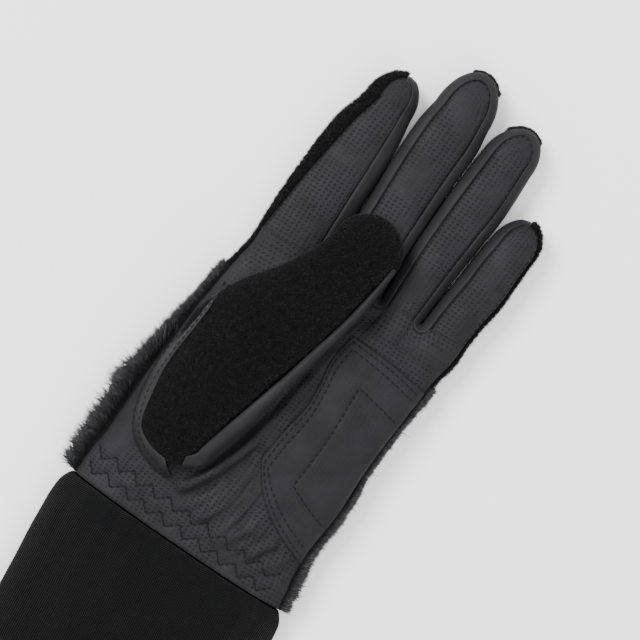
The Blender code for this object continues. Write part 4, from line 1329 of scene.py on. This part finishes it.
def make_thumb():
    """The thumb's fleece, which faces up, and its leather: the under side and the roll along its edge."""
    form = new_form()
    places = thumb_rows()
    seam_column = THUMB_FLEECE_COLUMNS
    columns = seam_column + THUMB_ROLL_COLUMNS

    def side_point(column, row, top):
        body, end = places[row]
        seam = thumb_seam_level(body)
        if column <= seam_column:
            # close columns at the round left edge, and wider ones at the seam
            full = 1 - math.cos(THUMB_COLUMN_TURN)
            u = between(-1.0, seam, (1 - math.cos(THUMB_COLUMN_TURN * column / seam_column)) / full)
        else:
            share = (column - seam_column) / THUMB_ROLL_COLUMNS
            u = between(seam, 1.0, math.sin(math.pi / 2 * share))
        point = thumb_point(u, body + end, top)
        if top and column > seam_column and body + end < 1:
            share = (u - seam) / (1 - seam)
            high, low = (thumb_point(level, body + end, True).z for level in (seam, 1.0))
            tube = between(low, high, math.sqrt(1 - share**4)) + ROLL_RISE * math.sin(math.pi * share)
            point.z = between(point.z, tube, smooth(-0.6, 0.0, body + end) * (1 - smooth(0.86, 1.0, body)))
        return point

    def top_panel(column, row):
        below_tip = row < THUMB_ROUND + THUMB_ROWS
        return THUMB_LEATHER if column >= seam_column and below_tip else THUMB_FLEECE

    lay_sheet(form, columns, len(places) - 1,
              lambda column, row: side_point(column, row, True), top_panel)
    lay_sheet(form, columns, len(places) - 1,
              lambda column, row: side_point(column, row, False), lambda column, row: THUMB_LEATHER)
    weld_form(form)
    fleece = take_panel(form, {THUMB_FLEECE})
    dress(fleece, thumb_relief)
    skin = surface_of(fleece)
    sow_pile("thumb_pile", fleece, 42000, THUMB_PILE, FLEECE_STRAND_FINISH, "fleece", 12)
    grow_wall(fleece, FLEECE)
    finish_piece("thumb_back", fleece, FLEECE_FINISH, ["thumb_fleece"], "fleece")
    leather = take_panel(form, {THUMB_LEATHER})
    dress(leather, roll_relief)
    open_thumb_hole(leather)
    grow_wall(leather, LEATHER)
    finish_piece("thumb_roll", leather, PLAIN_LEATHER_FINISH, ["thumb_leather"], "leather")
    form.free()
    return skin


def thumb_relief(place, away):
    """The fleece sinks towards its seams, most where the hem of the palm covers its edge."""
    under_hem = 1 - smooth(0.072, 0.090, place.y)
    sink = -between(0.0007, 0.0013, under_hem) * math.exp(-((away / 0.0014) ** 2))
    return sink + 0.00045 * wander(place.x, place.y, 0.014, 1.5, 8.0)


def roll_relief(place, away):
    sink = -0.7 * SEAM_SINK * math.exp(-((away / SEAM_ROLL) ** 2))
    return sink + 0.00018 * wander(place.x, place.y, 0.004, 2.5, 4.0)


def thumb_hem_line():
    """A smooth curve through THUMB_SEAM_LINE: the outer row of stitches that joins the thumb."""
    points = [Vector((place.across * PALM_WIDTH, place.along * PALM_LENGTH))
              for place in THUMB_SEAM_LINE]
    line = []
    padded = [points[0], *points, points[-1]]
    for p0, p1, p2, p3 in zip(padded, padded[1:], padded[2:], padded[3:]):
        for k in range(HEM_STEPS):
            t = k / HEM_STEPS
            line.append(0.5 * (2 * p1 + (p2 - p0) * t + (2 * p0 - 5 * p1 + 4 * p2 - p3) * t * t
                               + (3 * p1 - p0 - 3 * p2 + p3) * t**3))
    return line + [points[-1]]


def height_on(surface, x, y, otherwise):
    """The height of a surface straight below a place over the glove."""
    spot = surface.ray_cast(Vector((x, y, 0.1)), Vector((0, 0, -1)))[0]
    return spot.z if spot else otherwise


def make_hem(palm, thumb):
    """The palm's hem round the thumb's left and lower edge, from the palm up over the fleece's edge,
    with the two rows of stitches that hold it."""
    line = thumb_hem_line()
    last = len(line) - 1
    ways = [(line[min(row + 1, last)] - line[max(row - 1, 0)]).normalized() for row in range(last + 1)]
    aside = [Vector((-way.y, way.x)) for way in ways]

    def fleece_starts(row):
        for step in range(HEM_SEARCH):
            offset = HEM_STITCH_ROWS[1] + 0.00025 * step
            x, y = line[row] + aside[row] * offset
            if thumb.ray_cast(Vector((x, y, 0.1)), Vector((0, 0, -1)))[0]:
                return offset + HEM_OVER_FLEECE
        return HEM_STITCH_ROWS[1] + HEM_OVER_FLEECE

    found = [fleece_starts(row) for row in range(last + 1)]
    reach = []
    for row in range(last + 1):
        near = found[max(row - 5, 0):row + 6]
        reach.append(sum(near) / len(near))
    tops = [height_on(thumb, *(line[row] + aside[row] * reach[row]), 0.0) for row in range(last + 1)]

    def hem_point(row, offset):
        narrow = ease(min(row / 24, (last - row) / 14, 1.0))
        share = (offset + HEM_OUTSIDE) / (reach[row] + HEM_OUTSIDE)
        x, y = line[row] + aside[row] * (offset * between(0.25, 1.0, narrow))
        low = height_on(palm, x, y, palm_height(x, max(y, 0.0)))
        near = [top for top in tops[max(row - 3, 0):row + 4] if top]
        high = sum(near) / len(near) if near else low
        steep = ease(min(row / 14, (last - row) / 10, 1.0))
        rise = max(high + HEM_LIFT - low, 0.0) * steep * math.sin(math.pi / 2 * min(share, 1.0)) ** 1.25
        return Vector((x, y, low + 0.0003 + rise))

    def sheet_point(column, row):
        return hem_point(row, between(-HEM_OUTSIDE, reach[row], column / HEM_COLUMNS))

    form = new_form()
    lay_sheet(form, HEM_COLUMNS, last, sheet_point, lambda column, row: 0)
    weld_form(form)
    if sum(face.normal.z for face in form.faces) < 0:
        bmesh.ops.reverse_faces(form, faces=form.faces[:])
    hem = take_panel(form, {0})
    dress(hem, lambda place, away: 0.00012 * wander(place.x, place.y, 0.003, 1.5, 12.0)
          - 0.00025 * math.exp(-((away / 0.0005) ** 2)))
    skin = surface_of(hem)
    grow_wall(hem, HEM_LEATHER)
    finish_piece("thumb_hem", hem, PLAIN_LEATHER_FINISH, (), "leather")
    form.free()
    rows = [[hem_point(row, offset) for row in range(4, last)] for offset in HEM_STITCH_ROWS]
    make_stitches("thumb_seam_stitches", [walk(row, HEM_STITCH_STEP) for row in rows], skin,
                  *HEM_STITCH)


def make_heel_patch():
    """The leather patch over the heel of the palm, with sunk lines under its stitches."""
    form = new_form()
    lay_sheet(form, PATCH_COLUMNS, PATCH_ROWS,
              lambda column, row: patch_point(column / PATCH_COLUMNS, row / PATCH_ROWS),
              lambda column, row: 0)
    weld_form(form)
    if form.faces[0].normal.z < 0:
        bmesh.ops.reverse_faces(form, faces=form.faces[:])
    form.normal_update()
    for vert in form.verts:
        vert.co += vert.normal * (PATCH_LEATHER + SEAM_GAP)
    patch = take_panel(form, {0})
    inner = [(p.x, p.y) for p in PATCH_INNER_LINE]
    rows = [[(p.x, p.y) for p in line] for line in PATCH_STITCH_LINES]

    def relief(place, away):
        total = -0.0004 * math.exp(-((away / 0.0007) ** 2))
        total += 0.00025 * wander(place.x, place.y, 0.014, 1.4, 7.0)
        total -= 0.0004 * math.exp(-((near_line(place.x, place.y, inner) / 0.0009) ** 2))
        for line in rows:
            total -= 0.00028 * math.exp(-((near_line(place.x, place.y, line) / 0.0007) ** 2))
        return total

    dress(patch, relief)
    skin = surface_of(patch)
    grow_wall(patch, PATCH_LEATHER)
    finish_piece("palm_patch", patch, PATCH_FINISH, ["heel_patch"], "patch_leather")
    form.free()
    return skin


def make_cuff():
    """The knitted cuff, a flattened tube that is open at both ends, gathered where it meets the palm."""
    form = new_form()

    def place(column, row):
        return cuff_point(2 * math.pi * (column % CUFF_COLUMNS) / CUFF_COLUMNS, row / CUFF_ROWS)

    lay_sheet(form, CUFF_COLUMNS, CUFF_ROWS, place, lambda column, row: 0)
    weld_form(form)
    cuff = take_panel(form, {0})

    def relief(place, away):
        near = math.exp(place.y / 0.016)
        total = 0.0006 * near * wander(place.x, place.y, 0.0042, 3.0, 1.5)
        total += 0.0004 * wander(place.x, place.y, 0.011, 1.5, 2.5)
        return total - 0.0003 * math.exp(-((away / 0.0008) ** 2))

    dress(cuff, relief)
    skin = surface_of(cuff)
    grow_wall(cuff, KNIT)
    finish_piece("ribbed_cuff", cuff, KNIT_FINISH, ["knit_cuff"], "knit")
    form.free()
    return skin


# Stitches


def walk(line, step):
    """Places at equal steps along a line of points, each with the line's direction."""
    found, left = [], step / 2
    for first, second in zip(line, line[1:]):
        length = (second - first).length
        while left < length:
            found.append((first.lerp(second, left / length), (second - first).normalized()))
            left += step
        left -= length
    return found


def make_stitches(name, rows, skin, length, thickness, sink=0.3):
    """Rows of stitches on a surface, each a small rounded capsule that is half sunk into it. A row is
    a list of places with its direction at each."""
    places = [place for row in rows for place in row]
    bm = bmesh.new()
    bmesh.ops.create_uvsphere(bm, u_segments=6, v_segments=4, radius=1)
    one = repeat(bm, len(places))
    rng = random.Random(len(places))
    down = Vector((0, 0, -1))
    for number, (co, way) in enumerate(places):
        spot, normal = skin.ray_cast(Vector((co.x, co.y, 0.1)), down)[:2]
        if not spot:
            spot, normal = skin.find_nearest(co)[:2]
        if normal.z < 0:
            normal = -normal
        way = Vector((way.x, way.y, 0.0))
        way.z = -way.dot(normal) / max(normal.z, 0.3)
        way = Matrix.Rotation(rng.gauss(0, 0.05), 3, normal) @ way.normalized()
        side = normal.cross(way)
        long = length * between(0.94, 1.06, rng.random())
        spot = spot + normal * thickness * (0.5 - sink)
        for k in range(one):
            vert = bm.verts[number * one + k]
            a, b, c = vert.co
            end = math.copysign(abs(c) ** 0.7, c)
            dip = -0.35 * thickness * c * c
            vert.co = (
                spot + way * (end * long / 2) + side * (a * thickness / 2)
                + normal * (b * thickness / 2 + dip)
            )
    finish_piece(name, bm, THREAD_FINISH, (), "leather")


def finger_seam_line(finger, side):
    """The stitch line round one side of a finger's leather front, from its base to the tip's middle."""
    points = []
    for place in edge_places(finger, side):
        point = band_point(finger, place, 0)
        inner = finger_point(finger, 0.0, min(place[1], 0.9), True)
        way = inner - point
        way.z = 0
        points.append(point + way.normalized() * SEAM_TO_STITCH)
    return points


def on_palm(points):
    return [Vector((x, y, palm_height(x, max(y, 0.0)))) for x, y in points]


def zigzag_places(points):
    """The stitches of a zigzag: an equal number on each of its legs."""
    places = []
    for first, second in zip(points, points[1:]):
        for j in range(ZIGZAG_STITCHES):
            places.append((first.lerp(second, (j + 0.5) / ZIGZAG_STITCHES),
                           (second - first).normalized()))
    return places


# The glove


LEATHER_FINISH = make_leather("dimpled_leather", (0.0107, 0.0103, 0.0122), 0.62, 1.0)
PLAIN_LEATHER_FINISH = make_leather("plain_leather", (0.0110, 0.0106, 0.0123), 0.58, 0.0)
PATCH_FINISH = make_leather("patch_leather", (0.0098, 0.0094, 0.0112), 0.62, 0.3)
FLEECE_FINISH = make_pile_cloth("fleece", (0.0025, 0.0025, 0.0027), 0.95, 2.2)
FUR_BACKING_FINISH = make_pile_cloth("fur_ground", (0.004, 0.004, 0.0044), 0.95, 1.6)
FLEECE_STRAND_FINISH = make_strand_finish("fleece_fibre", (0.002, 0.002, 0.0022),
                                          (0.027, 0.027, 0.028), 0.9, 0.08)
# The fleece that shows round the finger tips is the fleece of the backs, painted paler than
# FLEECE_STRAND_FINISH: painted light on its fibres.
TIP_STRAND_PAINTED_LIGHT_FINISH = make_strand_finish("tip_fibre_painted_light", (0.007, 0.007, 0.0075),
                                       (0.045, 0.045, 0.048), 0.9, 0.08)
FUR_STRAND_FINISH = make_strand_finish("fur_strand", (0.003, 0.003, 0.0035), (0.056, 0.056, 0.060),
                                       0.6, 0.2)
KNIT_FINISH = make_knit_finish()
THREAD_FINISH = make_thread_finish()

PATCH_STITCH_LINES = [patch_line(0.045, 0.03, *PATCH_LINE_ENDS),
                      patch_line(0.105, 0.068, *PATCH_LINE_ENDS)]
PATCH_INNER_LINE = patch_line(0.42, 0.20, *PATCH_LINE_ENDS)

palm_skin = make_hand()
make_hem(palm_skin, make_thumb())
patch_skin = make_heel_patch()
make_cuff()

front_rows = [walk(finger_seam_line(finger, side), FINGER_STITCH_STEP)
              for finger in FINGERS for side in (-1, 1) if (finger.name, side) not in HIDDEN_SEAMS]
make_stitches("finger_stitches", front_rows, palm_skin, *FINGER_STITCH)
patch_rows = [walk(line, PATCH_STITCH_STEP) for line in PATCH_STITCH_LINES + [PATCH_INNER_LINE]]
make_stitches("patch_stitches", patch_rows, patch_skin, *PATCH_STITCH)
make_stitches("elastic_stitches", [zigzag_places(on_palm(row)) for row in ZIGZAGS], palm_skin,
              *ELASTIC_STITCH)

# Stage


def make_stage():
    """A pale floor, and soft light from the upper left of the picture."""
    bm = bmesh.new()
    bmesh.ops.create_grid(bm, x_segments=1, y_segments=1, size=1.5)
    for vert in bm.verts:
        vert.co.z = -0.0002
    mesh = bpy.data.meshes.new("studio_floor")
    bm.to_mesh(mesh)
    bm.free()
    floor = bpy.data.objects.new("studio_floor", mesh)
    paper = Finish("floor_paper", 0.9, Base_Color=(0.9, 0.9, 0.9, 1), Specular_IOR_Level=0.1)
    mesh.materials.append(paper.material)
    bpy.context.scene.collection.objects.link(floor)

    world = bpy.data.worlds.new("studio")
    world.use_nodes = True
    world.node_tree.nodes["Background"].inputs["Color"].default_value = (1, 1, 1, 1)
    world.node_tree.nodes["Background"].inputs["Strength"].default_value = WORLD_LIGHT
    bpy.context.scene.world = world

    centre = Vector((CAMERA_OVER[0], CAMERA_OVER[1] - ORIGIN_FROM_SEAM, 0.0))
    for name, offset, size, power in LIGHTS:
        lamp = bpy.data.lights.new(name, "AREA")
        lamp.shape, lamp.size, lamp.energy = "DISK", size, power
        light = bpy.data.objects.new(name, lamp)
        light.location = centre + Vector(offset)
        light.rotation_euler = Vector(offset).to_track_quat("Z", "Y").to_euler()
        bpy.context.scene.collection.objects.link(light)

    lens = bpy.data.cameras.new("camera")
    lens.lens, lens.sensor_width = CAMERA_LENS, 36.0
    camera = bpy.data.objects.new("camera", lens)
    reach = CAMERA_FRAME / 36.0 * CAMERA_LENS
    camera.location = centre + Vector((0, 0, CAMERA_LEVEL + reach))
    camera.rotation_euler.z = CAMERA_TURN
    bpy.context.scene.collection.objects.link(camera)
    bpy.context.scene.camera = camera


make_stage()
